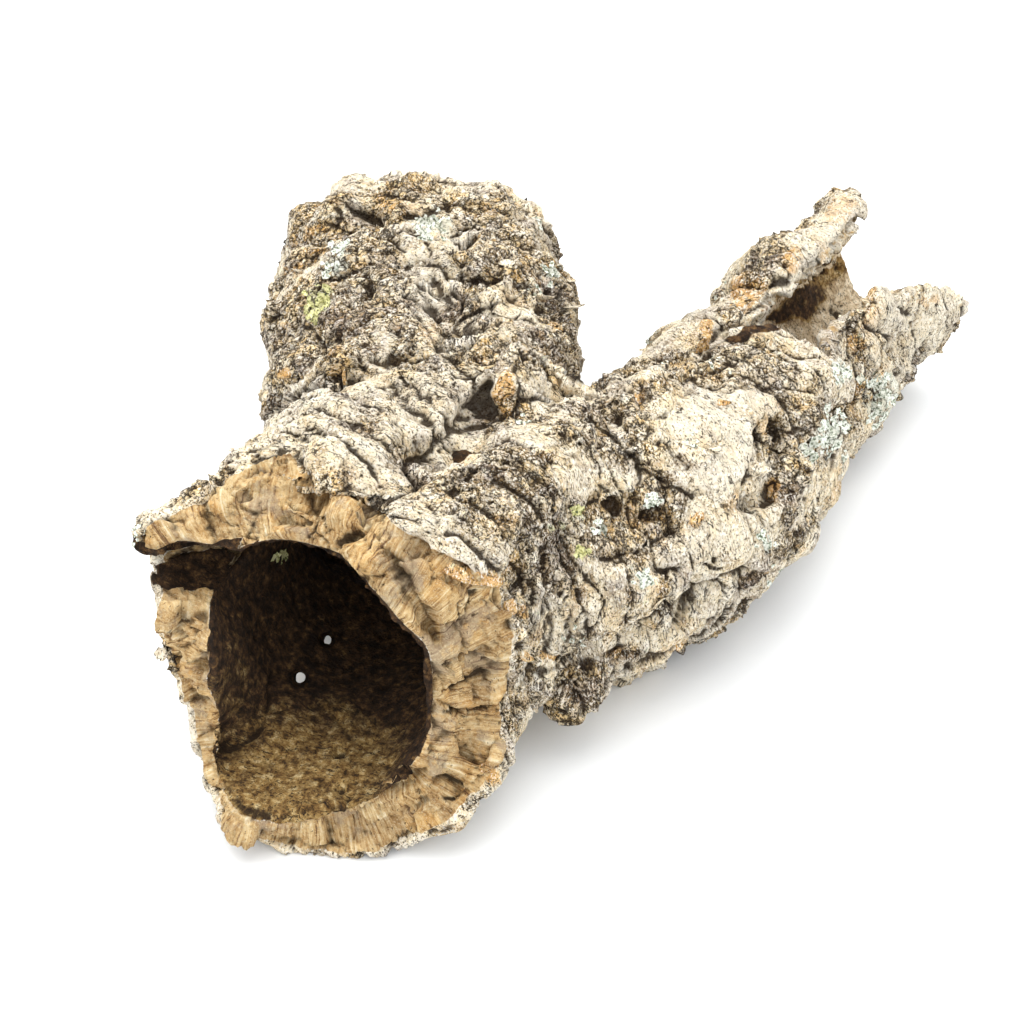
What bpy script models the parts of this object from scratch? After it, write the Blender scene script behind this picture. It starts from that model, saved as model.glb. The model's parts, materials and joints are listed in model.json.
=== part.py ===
"""A hollow cork branch: the bark of a forked limb, stripped whole from its wood.

A short trunk with a torn mouth parts into a wide left limb and a longer right limb that ends as a broken
half pipe. Metres, +Z up. The trunk runs along +Y with its mouth facing -Y, and the branch lies on z = 0.
"""

import math
from collections import namedtuple

import bmesh
import bpy
import numpy as np
from mathutils import Vector, noise

MM = 0.001

# One station of a tube, in mm: the middle of its ring, half its width, half its height, and how square it is.
Ring = namedtuple("Ring", "x y z wide tall square")

OUTER = {
    "trunk": [
        Ring(-24, -175, 76, 78, 76, 2.1),
        Ring(-26, -110, 76, 80, 76, 2.1),
        Ring(-24, -60, 74, 88, 74, 2.1),
        Ring(-20, -13, 73, 97, 72, 2.1),
        Ring(-16, 30, 72, 96, 68, 2.1),
    ],
    "left_limb": [
        Ring(-44, -50, 72, 70, 66, 2.2),
        Ring(-58, 28, 71, 76, 68, 2.3),
        Ring(-83, 96, 69, 81, 67, 2.5),
        Ring(-112, 162, 66, 80, 65, 2.6),
        Ring(-131, 200, 63, 75, 62, 2.5),
    ],
    "right_limb": [
        Ring(14, -62, 64, 62, 62, 2.1),
        Ring(56, 4, 63, 68, 64, 2.1),
        Ring(82, 76, 61, 65, 62, 2.1),
        Ring(92, 150, 60, 52, 59, 2.1),
        Ring(107, 215, 60, 51, 55, 2.1),
        Ring(118, 262, 60, 46, 50, 2.1),
    ],
}
HOLLOW = {
    "trunk": [
        Ring(-34, -175, 75, 48, 56, 2.2),
        Ring(-31, -110, 73, 51, 52, 2.1),
        Ring(-24, -60, 71, 62, 49, 2.1),
        Ring(-20, -13, 69, 72, 47, 2.1),
        Ring(-16, 20, 69, 72, 44, 2.1),
    ],
    "left_limb": [
        Ring(-44, -40, 73, 50, 46, 2.1),
        Ring(-60, 28, 72, 57, 48, 2.1),
        Ring(-84, 96, 71, 62, 48, 2.1),
        Ring(-110, 162, 68, 60, 47, 2.1),
        Ring(-128, 200, 66, 55, 45, 2.1),
    ],
    "right_limb": [
        Ring(14, -52, 65, 42, 42, 2.1),
        Ring(56, 4, 66, 46, 44, 2.1),
        Ring(82, 76, 65, 45, 43, 2.1),
        Ring(92, 150, 64, 36, 41, 2.1),
        Ring(107, 215, 64, 35, 38, 2.1),
        Ring(118, 262, 64, 31, 35, 2.1),
    ],
}

# How far each end reaches past its last station, in mm, by the angle round the ring: 0 is the right-hand
# side as seen from the mouth, 90 the top, 180 the left and 270 the bottom.
MOUTH = {
    0: -52, 15: -58, 32: -60, 52: -46, 75: -46, 90: -58, 105: -60, 120: -60, 135: -46, 150: -28, 165: -18,
    185: -8, 210: -9, 225: 10, 240: 30, 262: 32, 285: 19, 300: 6, 315: 0, 330: -20, 345: -44,
}
FAR_END = {
    "left_limb": {0: -22, 30: -20, 60: -16, 90: -10, 110: 0, 135: -16, 160: -2, 180: 0, 220: 10, 260: 4, 310: -8},
    "right_limb": {0: 4, 20: -6, 50: -20, 80: -10, 100: 6, 120: 24, 150: 32, 180: 42, 225: 44, 260: 36, 300: 10, 330: 2},
}
OVERRUN = 60  # mm that a hollow runs on past the ends of its tube

# How far the middle of an end stands out from its edge, in mm: the break leans outward all round.
CROWN = {"trunk": 40, "left_limb": 15, "right_limb": 10}

# The break along the top of the right limb: distance along the limb from its last station, in mm, then the
# angles of its two lips.
BREAK = [
    (-190, 103, 100), (-165, 103, 95), (-150, 99, 82), (-140, 97, 62), (-130, 96, 51), (-95, 97, 51), (-62, 98, 48),
    (-40, 97, 37), (-20, 98, 22), (0, 101, 9), (20, 116, 2), (34, 132, -2), (70, 150, -4),
]
BREAK_STEPS = 8
BREAK_DEPTH = (0.5, 1.45)  # of the limb's half width: where the cut starts and ends

# Places where the whole wall swells or leans: the middle, how wide it is, and how far it is moved, in mm.
Swell = namedtuple("Swell", "x y z radius dx dy dz")
SWELLS = [
    Swell(-94, -150, 120, 34, -27, -4, 6),
    Swell(-85, -100, 125, 45, -9, -1, 4),
    Swell(48, -140, 42, 30, 3, 0, -1),
    Swell(-190, 200, 100, 40, -6, 0, 4),
    Swell(160, 262, 60, 32, 9, 0, -4),
    Swell(124, 66, 40, 42, -7, -2, 0),
    Swell(-106, -162, 99, 17, 12, 2, 0),
    Swell(-92, -168, 76, 20, -3, -1, 0),
    Swell(-118, 196, 124, 28, 0, -2, -3),
    Swell(-150, 178, 124, 22, 2, -2, -8),
    Swell(-46, 190, 112, 24, -6, -4, -3),
    Swell(-156, 50, 78, 30, 5, 0, 0),
    Swell(84, -64, 14, 26, -5, 5, 3),
    Swell(112, -8, 24, 34, -5, 2, 0),
    Swell(150, 225, 92, 18, 0, 2, 4),
]

# Grooves (down) and ridges (up) along the bark: how high, how wide, then the points they run through, in mm.
Stroke = namedtuple("Stroke", "height width points")
VALLEY = [
    (-44, -132, 140), (-28, -112, 148), (-20, -92, 149), (-11, -72, 148), (4, -40, 145), (30, 12, 136), (30, 45, 125),
]
STROKES = [
    Stroke(-13, 17, VALLEY),
    Stroke(-8, 9, [(-11, -72, 148), (-6, -45, 146), (-7, -14, 144)]),
    Stroke(-7, 8, [(-66, -92, 143), (-54, -112, 146), (-46, -128, 144)]),
    Stroke(-6, 9, [(-53, -24, 142), (-30, -45, 147), (-17, -62, 148)]),
    Stroke(7, 14, [(8, -37, 146), (6, -12, 144), (2, 12, 142)]),
    Stroke(-6, 9, [(-71, 73, 137), (-55, 48, 139), (-42, 33, 139), (-32, 60, 134), (-24, 90, 126)]),
    Stroke(-6, 9, [(-140, 118, 127), (-128, 135, 131), (-114, 120, 133), (-100, 136, 133), (-84, 122, 133)]),
    Stroke(6, 12, [(-144, 138, 126), (-126, 152, 131), (-108, 150, 132), (-88, 146, 132)]),
    Stroke(-8, 14, [(-69, 129, 133), (-60, 140, 130)]),
    Stroke(-9, 14, [(-98, -26, 122), (-110, -34, 112), (-118, -33, 90), (-120, -32, 60)]),
    Stroke(6, 26, [(72, -25, 122), (92, 12, 122), (114, 50, 116)]),
    Stroke(-8, 10, [(124, 10, 96), (128, 30, 98), (122, 44, 104)]),
    Stroke(-7, 9, [(64, -56, 116), (78, -42, 114), (92, -36, 108)]),
    Stroke(-7, 9, [(38, -104, 118), (47, -112, 98), (48, -112, 70), (46, -108, 40)]),
    Stroke(5, 10, [(46, -96, 116), (58, -98, 92), (58, -94, 56)]),
    Stroke(-7, 10, [(58, -96, 52), (82, -78, 56), (104, -50, 56), (122, -22, 52)]),
    Stroke(6, 14, [(60, -98, 26), (88, -76, 28), (112, -46, 28), (134, -8, 28)]),
    Stroke(-6, 9, [(62, 66, 124), (72, 82, 124), (88, 100, 122)]),
    Stroke(-8, 12, [(20, -128, 62), (36, -128, 66), (48, -120, 66)]),
]

# Rounded knobs and hollows: the middle, how wide, and how high or deep, in mm.
Knob = namedtuple("Knob", "x y z radius height")
KNOBS = [
    Knob(-158, 92, 84, 9, 8),
    Knob(-20, 62, 110, 14, 6),
    Knob(-80, -60, 138, 30, 5),
    Knob(-92, 24, 126, 22, 4),
    Knob(-60, 100, 136, 26, 5),
    Knob(60, 30, 126, 24, 5),
    Knob(36, 110, 104, 24, 6),
    Knob(30, -70, 134, 22, 6),
    Knob(110, 130, 96, 22, -5),
    Knob(-158, 110, 40, 24, 6),
    Knob(40, 130, 30, 22, 5),
    Knob(-20, 110, 50, 22, -5),
]

# Folds across a limb, in mm: how far apart, how high, how far they wander and how they come and go.
FOLD_SPACING = 27
FOLD_HEIGHT = 4.5
FOLD_WANDER = 55
FOLD_PATCHES = 60
FOLD_CREST = 0.75  # of the spacing, where a fold is highest and starts to fall
FOLD_FOOT = 0.4  # of its height, how deep the bark lies between two folds

# Lumps of the outer and the inner face: how far across and how high, in mm.
LUMPS = [(46, 7.0), (21, 3.6)]
INNER_LUMPS = [(60, 4.0), (26, 1.6)]

# A point counts as outer face from here to here, as a share of the way out from the middle of its tube,
# and it belongs to a tube up to so many mm past the ends.
OUTER_FACE = (0.84, 0.94)
TUBE_ENDS = 90

RING_SIDES = 48
STEP = 8.0  # mm between the rings of a tube
VOXEL = 4.0  # mm, the mesh in which the bark's relief is made
GAP = 0.3  # mm between neighbouring pieces
SOFTEN = 6  # rounds of smoothing where the tubes meet
TRIANGLES = 8000

# The split at the fork, seen from above, in mm: the crotch, and where each split runs out.
CROTCH = Vector((26, 62))
SPLIT_LEFT = Vector((-260, -8))
SPLIT_RIGHT = Vector((250, -84))
SPLIT_AHEAD = Vector((40, 420))
FAR_OUT = 420  # mm, beyond every side of the branch

BARK_COLOUR = {
    "trunk": (0.59, 0.51, 0.38, 1.0),
    "left_limb": (0.52, 0.44, 0.32, 1.0),
    "right_limb": (0.50, 0.44, 0.34, 1.0),
}
BARK_ROUGHNESS = 0.9


def smooth_blend(a, b, c, d, t):
    """The Catmull-Rom curve between b and c."""
    return 0.5 * (2 * b + (c - a) * t + (2 * a - 5 * b + 4 * c - d) * t * t + (3 * b - a - 3 * c + d) * t**3)


class Route:
    """A tube's middle line, with the size and the frame of the ring at each place along it."""

    FINE = 16  # steps between two stations
    SLOPE = 6.0  # mm each way over which the direction is measured

    def __init__(self, stations):
        last = len(stations) - 1
        rows = []
        for i in range(last):
            near = [stations[min(max(k, 0), last)] for k in (i - 1, i, i + 1, i + 2)]
            rows += [
                [smooth_blend(*values, step / self.FINE) for values in zip(*near)] for step in range(self.FINE)
            ]
        rows.append(list(stations[-1]))
        self.rows = np.array(rows, float)
        steps = np.linalg.norm(np.diff(self.rows[:, :3], axis=0), axis=1)
        self.along = np.concatenate([[0.0], np.cumsum(steps)])
        self.length = float(self.along[-1])

    def at(self, s):
        """Middle, along, side and top directions, half width, half height and squareness at s mm."""
        inside = min(max(s, 0.0), self.length)
        row = np.array([np.interp(inside, self.along, column) for column in self.rows.T])
        low, high = max(inside - self.SLOPE, 0.0), min(inside + self.SLOPE, self.length)
        ends = [Vector([np.interp(x, self.along, column) for column in self.rows.T[:3]]) for x in (low, high)]
        along = (ends[1] - ends[0]).normalized()
        side = along.cross(Vector((0, 0, 1))).normalized()
        top = side.cross(along)
        return Vector(row[:3]) + along * (s - inside), along, side, top, row[3], row[4], row[5]


def round_curve(by_angle, angle):
    """A smooth closed curve through the values given at a few angles, in degrees."""
    angles = sorted(by_angle)
    values = [by_angle[a] for a in angles]
    n = len(angles)
    angle %= 360
    i = max((k for k in range(n) if angles[k] <= angle), default=n - 1)
    start, end = angles[i], angles[(i + 1) % n]
    span = (end - start) % 360 or 360
    t = ((angle - start) % 360) / span
    return smooth_blend(values[i - 1], values[i], values[(i + 1) % n], values[(i + 2) % n], t)


def ring_point(route, s, angle, grow=1.0):
    """The point at that angle of the ring s mm along the route."""
    middle, _, side, top, wide, tall, square = route.at(s)
    a = math.radians(angle)
    c, d = math.cos(a), math.sin(a)
    stretch = (abs(c) ** square + abs(d) ** square) ** (-1 / square) * grow
    return middle + side * (c * stretch * wide) + top * (d * stretch * tall)


def new_object(name, bm):
    bmesh.ops.recalc_face_normals(bm, faces=bm.faces)
    mesh = bpy.data.meshes.new(name)
    bm.to_mesh(mesh)
    bm.free()
    obj = bpy.data.objects.new(name, mesh)
    bpy.context.scene.collection.objects.link(obj)
    return obj


def loft(name, loops, near_crown=Vector(), far_crown=Vector()):
    """A closed body through loops of points in mm, with its ends filled by fans that stand out by the crowns."""
    bm = bmesh.new()
    rings = [[bm.verts.new(Vector(p) * MM) for p in loop] for loop in loops]
    n = len(rings[0])
    for near, far in zip(rings, rings[1:]):
        for k in range(n):
            bm.faces.new((near[k], near[(k + 1) % n], far[(k + 1) % n], far[k]))
    for ring, order, crown in ((rings[0], -1, near_crown), (rings[-1], 1, far_crown)):
        middle = bm.verts.new(sum((vert.co for vert in ring), Vector()) / n + crown * MM)
        for k in range(n):
            bm.faces.new((ring[k], ring[(k + 1) % n], middle)[::order])
    return new_object(name, bm)


def tube(name, stations, near_end, far_end, near_crown=0, far_crown=0):
    """A closed tube through the stations, whose ends reach as far as near_end and far_end say."""
    route = Route(stations)
    steps = max(2, round(route.length / STEP))
    angles = [360 * k / RING_SIDES for k in range(RING_SIDES)]
    starts = [-near_end(a) for a in angles]
    ends = [route.length + far_end(a) for a in angles]
    loops = []
    for i in range(steps + 1):
        u = i / steps
        loops.append([ring_point(route, s0 + (s1 - s0) * u, a) for a, s0, s1 in zip(angles, starts, ends)])
    return loft(name, loops, -near_crown * route.at(0)[1], far_crown * route.at(route.length)[1])


def level(amount):
    """An end that reaches equally far all round."""
    return lambda angle: amount


def torn(by_angle):
    """An end that reaches as far as the values given at a few angles."""
    return lambda angle: round_curve(by_angle, angle)


def join(obj, other, operation):
    """Applies a Boolean and drops the tool."""
    modifier = obj.modifiers.new(operation, "BOOLEAN")
    modifier.operation = operation
    modifier.object = other
    apply_modifiers(obj)
    bpy.data.objects.remove(other)


def apply_modifiers(obj):
    graph = bpy.context.evaluated_depsgraph_get()
    mesh = bpy.data.meshes.new_from_object(obj.evaluated_get(graph))
    obj.modifiers.clear()
    obj.data = mesh


def break_cutter():
    """A wedge along the right limb that takes out the top between the two lips."""
    route = Route(OUTER["right_limb"])
    loops = []
    for past, left, right in BREAK:
        s = route.length + past
        arc = [right + (left - right) * k / BREAK_STEPS for k in range(BREAK_STEPS + 1)]
        outer = [ring_point(route, s, a, BREAK_DEPTH[1]) for a in arc]
        inner = [ring_point(route, s, a, BREAK_DEPTH[0]) for a in reversed(arc)]
        loops.append(outer + inner)
    return loft("break_cutter", loops)


def plain_shell():
    """The three tubes joined, hollowed and broken open, before the bark's relief."""
    shell = tube("bark", OUTER["trunk"], torn(MOUTH), level(0), CROWN["trunk"])
    for limb, edge in FAR_END.items():
        join(shell, tube(limb, OUTER[limb], level(0), torn(edge), 0, CROWN[limb]), "UNION")
    join(shell, tube("hollow", HOLLOW["trunk"], level(OVERRUN), level(0)), "DIFFERENCE")
    for limb in FAR_END:
        join(shell, tube("hollow", HOLLOW[limb], level(0), level(OVERRUN)), "DIFFERENCE")
    join(shell, break_cutter(), "DIFFERENCE")
    remesh = shell.modifiers.new("even", "REMESH")
    remesh.mode = "VOXEL"
    remesh.voxel_size = VOXEL * MM
    soften = shell.modifiers.new("soften", "SMOOTH")
    soften.iterations = SOFTEN
    apply_modifiers(shell)
    return shell


def points_of(obj):
    """The object's vertices, in mm."""
    points = np.empty(len(obj.data.vertices) * 3)
    obj.data.vertices.foreach_get("co", points)
    return points.reshape(-1, 3) / MM


def move_to(obj, points):
    obj.data.vertices.foreach_set("co", (points * MM).ravel())
    obj.data.update()


def swell(points):
    moved = points.copy()
    for place in SWELLS:
        away = np.linalg.norm(points - [place.x, place.y, place.z], axis=1) / place.radius
        moved += np.exp(-(away**2))[:, None] * [place.dx, place.dy, place.dz]
    return moved


def normals_of(obj):
    normals = np.empty(len(obj.data.vertices) * 3)
    obj.data.vertices.foreach_get("normal", normals)
    return normals.reshape(-1, 3)


def lumpy(points, across, seed):
    """Smooth noise, about -1 to 1, with lumps that many mm across."""
    shift = Vector((seed * 31.7, seed * -17.3, seed * 9.1))
    return np.array([noise.noise(Vector(p) / across + shift) for p in points]) * 1.6


def ramp(low, high, value):
    t = np.clip((value - low) / (high - low), 0, 1)
    return t * t * (3 - 2 * t)


def along_tube(stations, points):
    """How far along the tube, how far out (1 on its face) and how far past its ends the points are."""
    route = Route(stations)
    places = np.linspace(0, route.length, 60)
    frames = [route.at(s) for s in places]
    middles = np.array([f[0] for f in frames])
    nearest = np.argmin(((points[:, None, :] - middles[None]) ** 2).sum(2), axis=1)
    ways = [np.array([f[k] for f in frames])[nearest] for k in (1, 2, 3)]
    away = points - middles[nearest]
    past, across, up = [(away * way).sum(1) for way in ways]
    wide, tall, square = [np.array([f[k] for f in frames])[nearest] for k in (4, 5, 6)]
    out = (np.abs(across / wide) ** square + np.abs(up / tall) ** square) ** (1 / square)
    beyond = np.where((nearest == 0) | (nearest == len(places) - 1), np.abs(past), 0)
    return places[nearest] + past, out, beyond


def from_line(points, line):
    """The distance of each point from a line through several points."""
    line = np.array(line, float)
    best = np.full(len(points), np.inf)
    for a, b in zip(line, line[1:]):
        way = b - a
        t = np.clip(((points - a) @ way) / (way @ way), 0, 1)
        best = np.minimum(best, np.linalg.norm(points - (a + t[:, None] * way), axis=1))
    return best


def relief(points):
    """How far each point of the plain shell rises along its normal, in mm."""
    tubes = [along_tube(stations, points) for stations in OUTER.values()]
    levels = np.array([np.where(beyond > TUBE_ENDS, np.inf, out) for along, out, beyond in tubes])
    outer = ramp(*OUTER_FACE, levels.min(0))
    rise = np.zeros(len(points))
    for seed, (across, high) in enumerate(LUMPS):
        rise += outer * high * lumpy(points, across, seed + 1)
    for seed, (across, high) in enumerate(INNER_LUMPS):
        rise += (1 - outer) * high * lumpy(points, across, seed + 11)
    wander = lumpy(points, FOLD_WANDER, 21)
    strength = ramp(-0.7, 0.8, lumpy(points, FOLD_PATCHES, 22))
    for index, (along, *_) in enumerate(tubes):
        turn = (along / FOLD_SPACING + wander) % 1.0
        fold = ramp(0, FOLD_CREST, turn) * (1 - ramp(FOLD_CREST, 1, turn)) - FOLD_FOOT
        rise += np.where(levels.argmin(0) == index, outer * FOLD_HEIGHT * strength * fold, 0)
    for stroke in STROKES:
        away = from_line(points, stroke.points) / stroke.width
        rise += outer * stroke.height * np.exp(-(away**2))
    for knob in KNOBS:
        away = np.linalg.norm(points - [knob.x, knob.y, knob.z], axis=1) / knob.radius
        rise += outer * knob.height * np.exp(-(away**2))
    return rise


def thin_out(obj, triangles):
    """Triangulates and keeps about that many triangles, most of them where the bark bends."""
    obj.modifiers.new("triangles", "TRIANGULATE")
    apply_modifiers(obj)
    fewer = obj.modifiers.new("fewer", "DECIMATE")
    fewer.ratio = triangles / len(obj.data.polygons)
    apply_modifiers(obj)


def inset(corners):
    """The corners of a region seen from above, in mm, drawn in by half the gap."""
    n = len(corners)
    area = sum(a.x * b.y - b.x * a.y for a, b in zip(corners, corners[1:] + corners[:1]))
    turn = 1 if area > 0 else -1
    sides = []
    for k in range(n):
        way = (corners[(k + 1) % n] - corners[k]).normalized()
        sides.append((corners[k] + Vector((-way.y, way.x)) * turn * GAP / 2, way))
    drawn = []
    for k in range(n):
        (p, v), (q, w) = sides[k - 1], sides[k]
        t = ((q.x - p.x) * w.y - (q.y - p.y) * w.x) / (v.x * w.y - v.y * w.x)
        drawn.append(p + v * t)
    return drawn


def region(name, corners):
    """An upright block over a region seen from above, from the ground up."""
    drawn = inset(corners)
    bm = bmesh.new()
    rings = [[bm.verts.new((p.x * MM, p.y * MM, z * MM)) for p in drawn] for z in (0, FAR_OUT)]
    n = len(drawn)
    for k in range(n):
        bm.faces.new((rings[0][k], rings[0][(k + 1) % n], rings[1][(k + 1) % n], rings[1][k]))
    bm.faces.new(rings[0])
    bm.faces.new(rings[1])
    return new_object(name, bm)


def keep_largest(obj):
    """Drops the crumbs that a cut leaves beside the piece itself."""
    bm = bmesh.new()
    bm.from_mesh(obj.data)
    left = set(bm.verts)
    bodies = []
    while left:
        body = {left.pop()}
        edge = list(body)
        while edge:
            for link in edge.pop().link_edges:
                for vert in link.verts:
                    if vert in left:
                        left.discard(vert)
                        body.add(vert)
                        edge.append(vert)
        bodies.append(body)
    largest = max(bodies, key=len)
    bmesh.ops.delete(bm, geom=[v for body in bodies if body is not largest for v in body], context="VERTS")
    bm.to_mesh(obj.data)
    bm.free()


def material(name, colour, roughness):
    made = bpy.data.materials.new(name)
    made.use_nodes = True
    shader = made.node_tree.nodes["Principled BSDF"]
    shader.inputs["Base Color"].default_value = colour
    shader.inputs["Roughness"].default_value = roughness
    shader.inputs["Metallic"].default_value = 0.0
    made.diffuse_color = colour
    return made


def split(shell):
    """Cuts the shell at the fork and along the ground into its three pieces."""
    near_left, near_right = Vector((-FAR_OUT, -FAR_OUT)), Vector((FAR_OUT, -FAR_OUT))
    far_left, far_right = Vector((-FAR_OUT, FAR_OUT)), Vector((FAR_OUT, FAR_OUT))
    regions = {
        "trunk": [near_left, near_right, SPLIT_RIGHT, CROTCH, SPLIT_LEFT],
        "left_limb": [SPLIT_LEFT, CROTCH, SPLIT_AHEAD, far_left],
        "right_limb": [SPLIT_RIGHT, far_right, SPLIT_AHEAD, CROTCH],
    }
    pieces = []
    for name, corners in regions.items():
        piece = shell.copy()
        piece.data = shell.data.copy()
        piece.name = name
        piece.data.name = name
        bpy.context.scene.collection.objects.link(piece)
        join(piece, region("region", corners), "INTERSECT")
        keep_largest(piece)
        pieces.append(piece)
    bpy.data.objects.remove(shell)
    return pieces


def centre(pieces):
    """Moves the branch so that the middle of its footprint is the origin."""
    points = np.concatenate([points_of(piece) for piece in pieces])
    middle = (points.min(0) + points.max(0)) / 2
    for piece in pieces:
        move_to(piece, points_of(piece) - [middle[0], middle[1], 0])


def main():
    for obj in list(bpy.data.objects):
        bpy.data.objects.remove(obj)
    shell = plain_shell()
    points = points_of(shell)
    move_to(shell, swell(points + normals_of(shell) * relief(points)[:, None]))
    thin_out(shell, TRIANGLES)
    pieces = split(shell)
    centre(pieces)
    for piece in pieces:
        piece.data.materials.clear()
        piece.data.materials.append(material(piece.name + "_bark", BARK_COLOUR[piece.name], BARK_ROUGHNESS))


main()
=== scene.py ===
"""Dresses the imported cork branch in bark, torn rim, hollow, lichen and loose flakes, on a plain stage."""

import itertools
import json
import math
from collections import namedtuple

import bmesh
import bpy
import numpy as np
from bpy.props import FloatProperty, FloatVectorProperty, IntProperty, PointerProperty
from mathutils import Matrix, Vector, noise
from mathutils.bvhtree import BVHTree

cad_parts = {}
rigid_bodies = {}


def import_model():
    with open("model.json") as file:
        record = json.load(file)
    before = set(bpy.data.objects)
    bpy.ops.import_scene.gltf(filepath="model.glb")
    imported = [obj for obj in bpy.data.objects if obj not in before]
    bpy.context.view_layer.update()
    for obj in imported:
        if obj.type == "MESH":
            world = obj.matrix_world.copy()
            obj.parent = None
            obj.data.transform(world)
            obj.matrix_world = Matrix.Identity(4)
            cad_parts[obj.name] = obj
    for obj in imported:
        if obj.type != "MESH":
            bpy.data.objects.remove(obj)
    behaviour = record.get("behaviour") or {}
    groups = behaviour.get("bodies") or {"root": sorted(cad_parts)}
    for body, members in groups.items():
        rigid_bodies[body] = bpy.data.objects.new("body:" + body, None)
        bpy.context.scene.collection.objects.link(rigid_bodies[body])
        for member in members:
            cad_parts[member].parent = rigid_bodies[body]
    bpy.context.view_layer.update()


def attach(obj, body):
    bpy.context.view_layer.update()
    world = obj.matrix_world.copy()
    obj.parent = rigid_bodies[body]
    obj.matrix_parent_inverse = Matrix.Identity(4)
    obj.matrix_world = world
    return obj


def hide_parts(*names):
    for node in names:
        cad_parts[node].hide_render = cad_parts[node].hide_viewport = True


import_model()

bl_info = {
    "name": "Cork Branch",
    "version": (1, 0, 0),
    "blender": (4, 5, 0),
    "location": "3D View > Sidebar > Cork Branch",
    "description": "A hollow forked branch of virgin cork bark, with lichen, on a pale floor",
    "category": "Object",
}

MM = 0.001
# The bark is laid out in its own coordinates, in mm. The branch's footprint is centred by moving it this far.
CENTRING = np.array([13.019, -51.79, 0.0])

# One station of a tube: the middle of its ring, half its width, half its height, and how square it is.
Ring = namedtuple("Ring", "x y z wide tall square")

OUTER = {
    "trunk": [
        Ring(-24, -175, 76, 78, 76, 2.1),
        Ring(-26, -110, 76, 80, 76, 2.1),
        Ring(-24, -60, 74, 88, 74, 2.1),
        Ring(-20, -13, 73, 97, 72, 2.1),
        Ring(-16, 30, 72, 96, 68, 2.1),
    ],
    "left_limb": [
        Ring(-44, -50, 72, 70, 66, 2.2),
        Ring(-58, 28, 71, 76, 68, 2.3),
        Ring(-83, 96, 69, 81, 67, 2.5),
        Ring(-112, 162, 66, 80, 65, 2.6),
        Ring(-131, 200, 63, 75, 62, 2.5),
    ],
    "right_limb": [
        Ring(14, -62, 64, 62, 62, 2.1),
        Ring(56, 4, 63, 68, 64, 2.1),
        Ring(82, 76, 61, 65, 62, 2.1),
        Ring(92, 150, 60, 52, 59, 2.1),
        Ring(107, 215, 60, 51, 55, 2.1),
        Ring(118, 262, 60, 46, 50, 2.1),
    ],
}
HOLLOW = {
    "trunk": [
        Ring(-34, -175, 75, 48, 56, 2.2),
        Ring(-31, -110, 73, 51, 52, 2.1),
        Ring(-24, -60, 71, 62, 49, 2.1),
        Ring(-20, -13, 69, 72, 47, 2.1),
        Ring(-16, 20, 69, 72, 44, 2.1),
    ],
    "left_limb": [
        Ring(-44, -40, 73, 50, 46, 2.1),
        Ring(-60, 28, 72, 57, 48, 2.1),
        Ring(-84, 96, 71, 62, 48, 2.1),
        Ring(-110, 162, 68, 60, 47, 2.1),
        Ring(-128, 200, 66, 55, 45, 2.1),
    ],
    "right_limb": [
        Ring(14, -52, 65, 42, 42, 2.1),
        Ring(56, 4, 66, 46, 44, 2.1),
        Ring(82, 76, 65, 45, 43, 2.1),
        Ring(92, 150, 64, 36, 41, 2.1),
        Ring(107, 215, 64, 35, 38, 2.1),
        Ring(118, 262, 64, 31, 35, 2.1),
    ],
}

# How far each end reaches past its last station, by the angle round the ring: 0 is the right-hand side as
# seen from the mouth, 90 the top, 180 the left and 270 the bottom.
MOUTH = {
    0: -52, 15: -58, 32: -60, 52: -46, 75: -46, 90: -58, 105: -60, 120: -60, 135: -46, 150: -28, 165: -18,
    185: -8, 210: -9, 225: 10, 240: 30, 262: 32, 285: 19, 300: 6, 315: 0, 330: -20, 345: -44,
}
FAR_END = {
    "left_limb": {
        0: -22, 30: -20, 60: -16, 90: -10, 110: 0, 135: -16, 160: -2, 180: 0, 220: 10, 260: 4, 310: -8,
    },
    "right_limb": {
        0: 8, 20: 4, 50: -16, 80: -10, 100: 6, 120: 24, 150: 32, 180: 42, 225: 44, 260: 36, 300: 12, 330: 6,
    },
}
OVERRUN = 60  # mm that the hollow reaches out of an open end
CROWN = {"trunk": 40, "left_limb": 15, "right_limb": 10}  # mm that the middle of an end stands out

# The break along the top of the right limb: mm past its last station, then the angles of its two lips.
BREAK = [
    (-190, 103, 100), (-165, 103, 95), (-150, 99, 82), (-140, 97, 62), (-130, 96, 51), (-95, 97, 51),
    (-62, 98, 48), (-40, 97, 37), (-20, 98, 32), (0, 101, 24), (20, 116, 18), (34, 132, 15), (70, 150, 12),
]
BREAK_STEPS = 16
BREAK_DEPTH = (0.5, 1.45)  # of the limb's half width: where the cut starts and ends

# Places where the whole wall swells or leans: the middle, the radius and the way it moves, in mm.
Swell = namedtuple("Swell", "x y z radius dx dy dz")
SWELLS = [
    Swell(-94, -150, 120, 34, -27, -4, 6),
    Swell(-85, -100, 125, 45, -9, -1, 4),
    Swell(48, -140, 42, 30, 3, 0, -1),
    Swell(-190, 200, 100, 40, -6, 0, 4),
    Swell(160, 262, 60, 32, 9, 0, -4),
    Swell(124, 66, 40, 42, -7, -2, 0),
    Swell(-106, -162, 99, 17, 12, 2, 0),
    Swell(-92, -168, 76, 20, -3, -1, 0),
    Swell(-118, 196, 124, 28, 0, -2, -3),
    Swell(-150, 178, 124, 22, 2, -2, -8),
    Swell(-46, 190, 112, 24, -6, -4, -3),
    Swell(-156, 50, 78, 30, 5, 0, 0),
    Swell(84, -64, 14, 26, -5, 5, 3),
    Swell(112, -8, 24, 34, -5, 2, 0),
    Swell(150, 225, 92, 18, 0, 2, 4),
    Swell(-60, -198, 14, 42, 4, 0, 0),
    Swell(-26, -204, 8, 44, 0, 11, 0),
]
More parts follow.
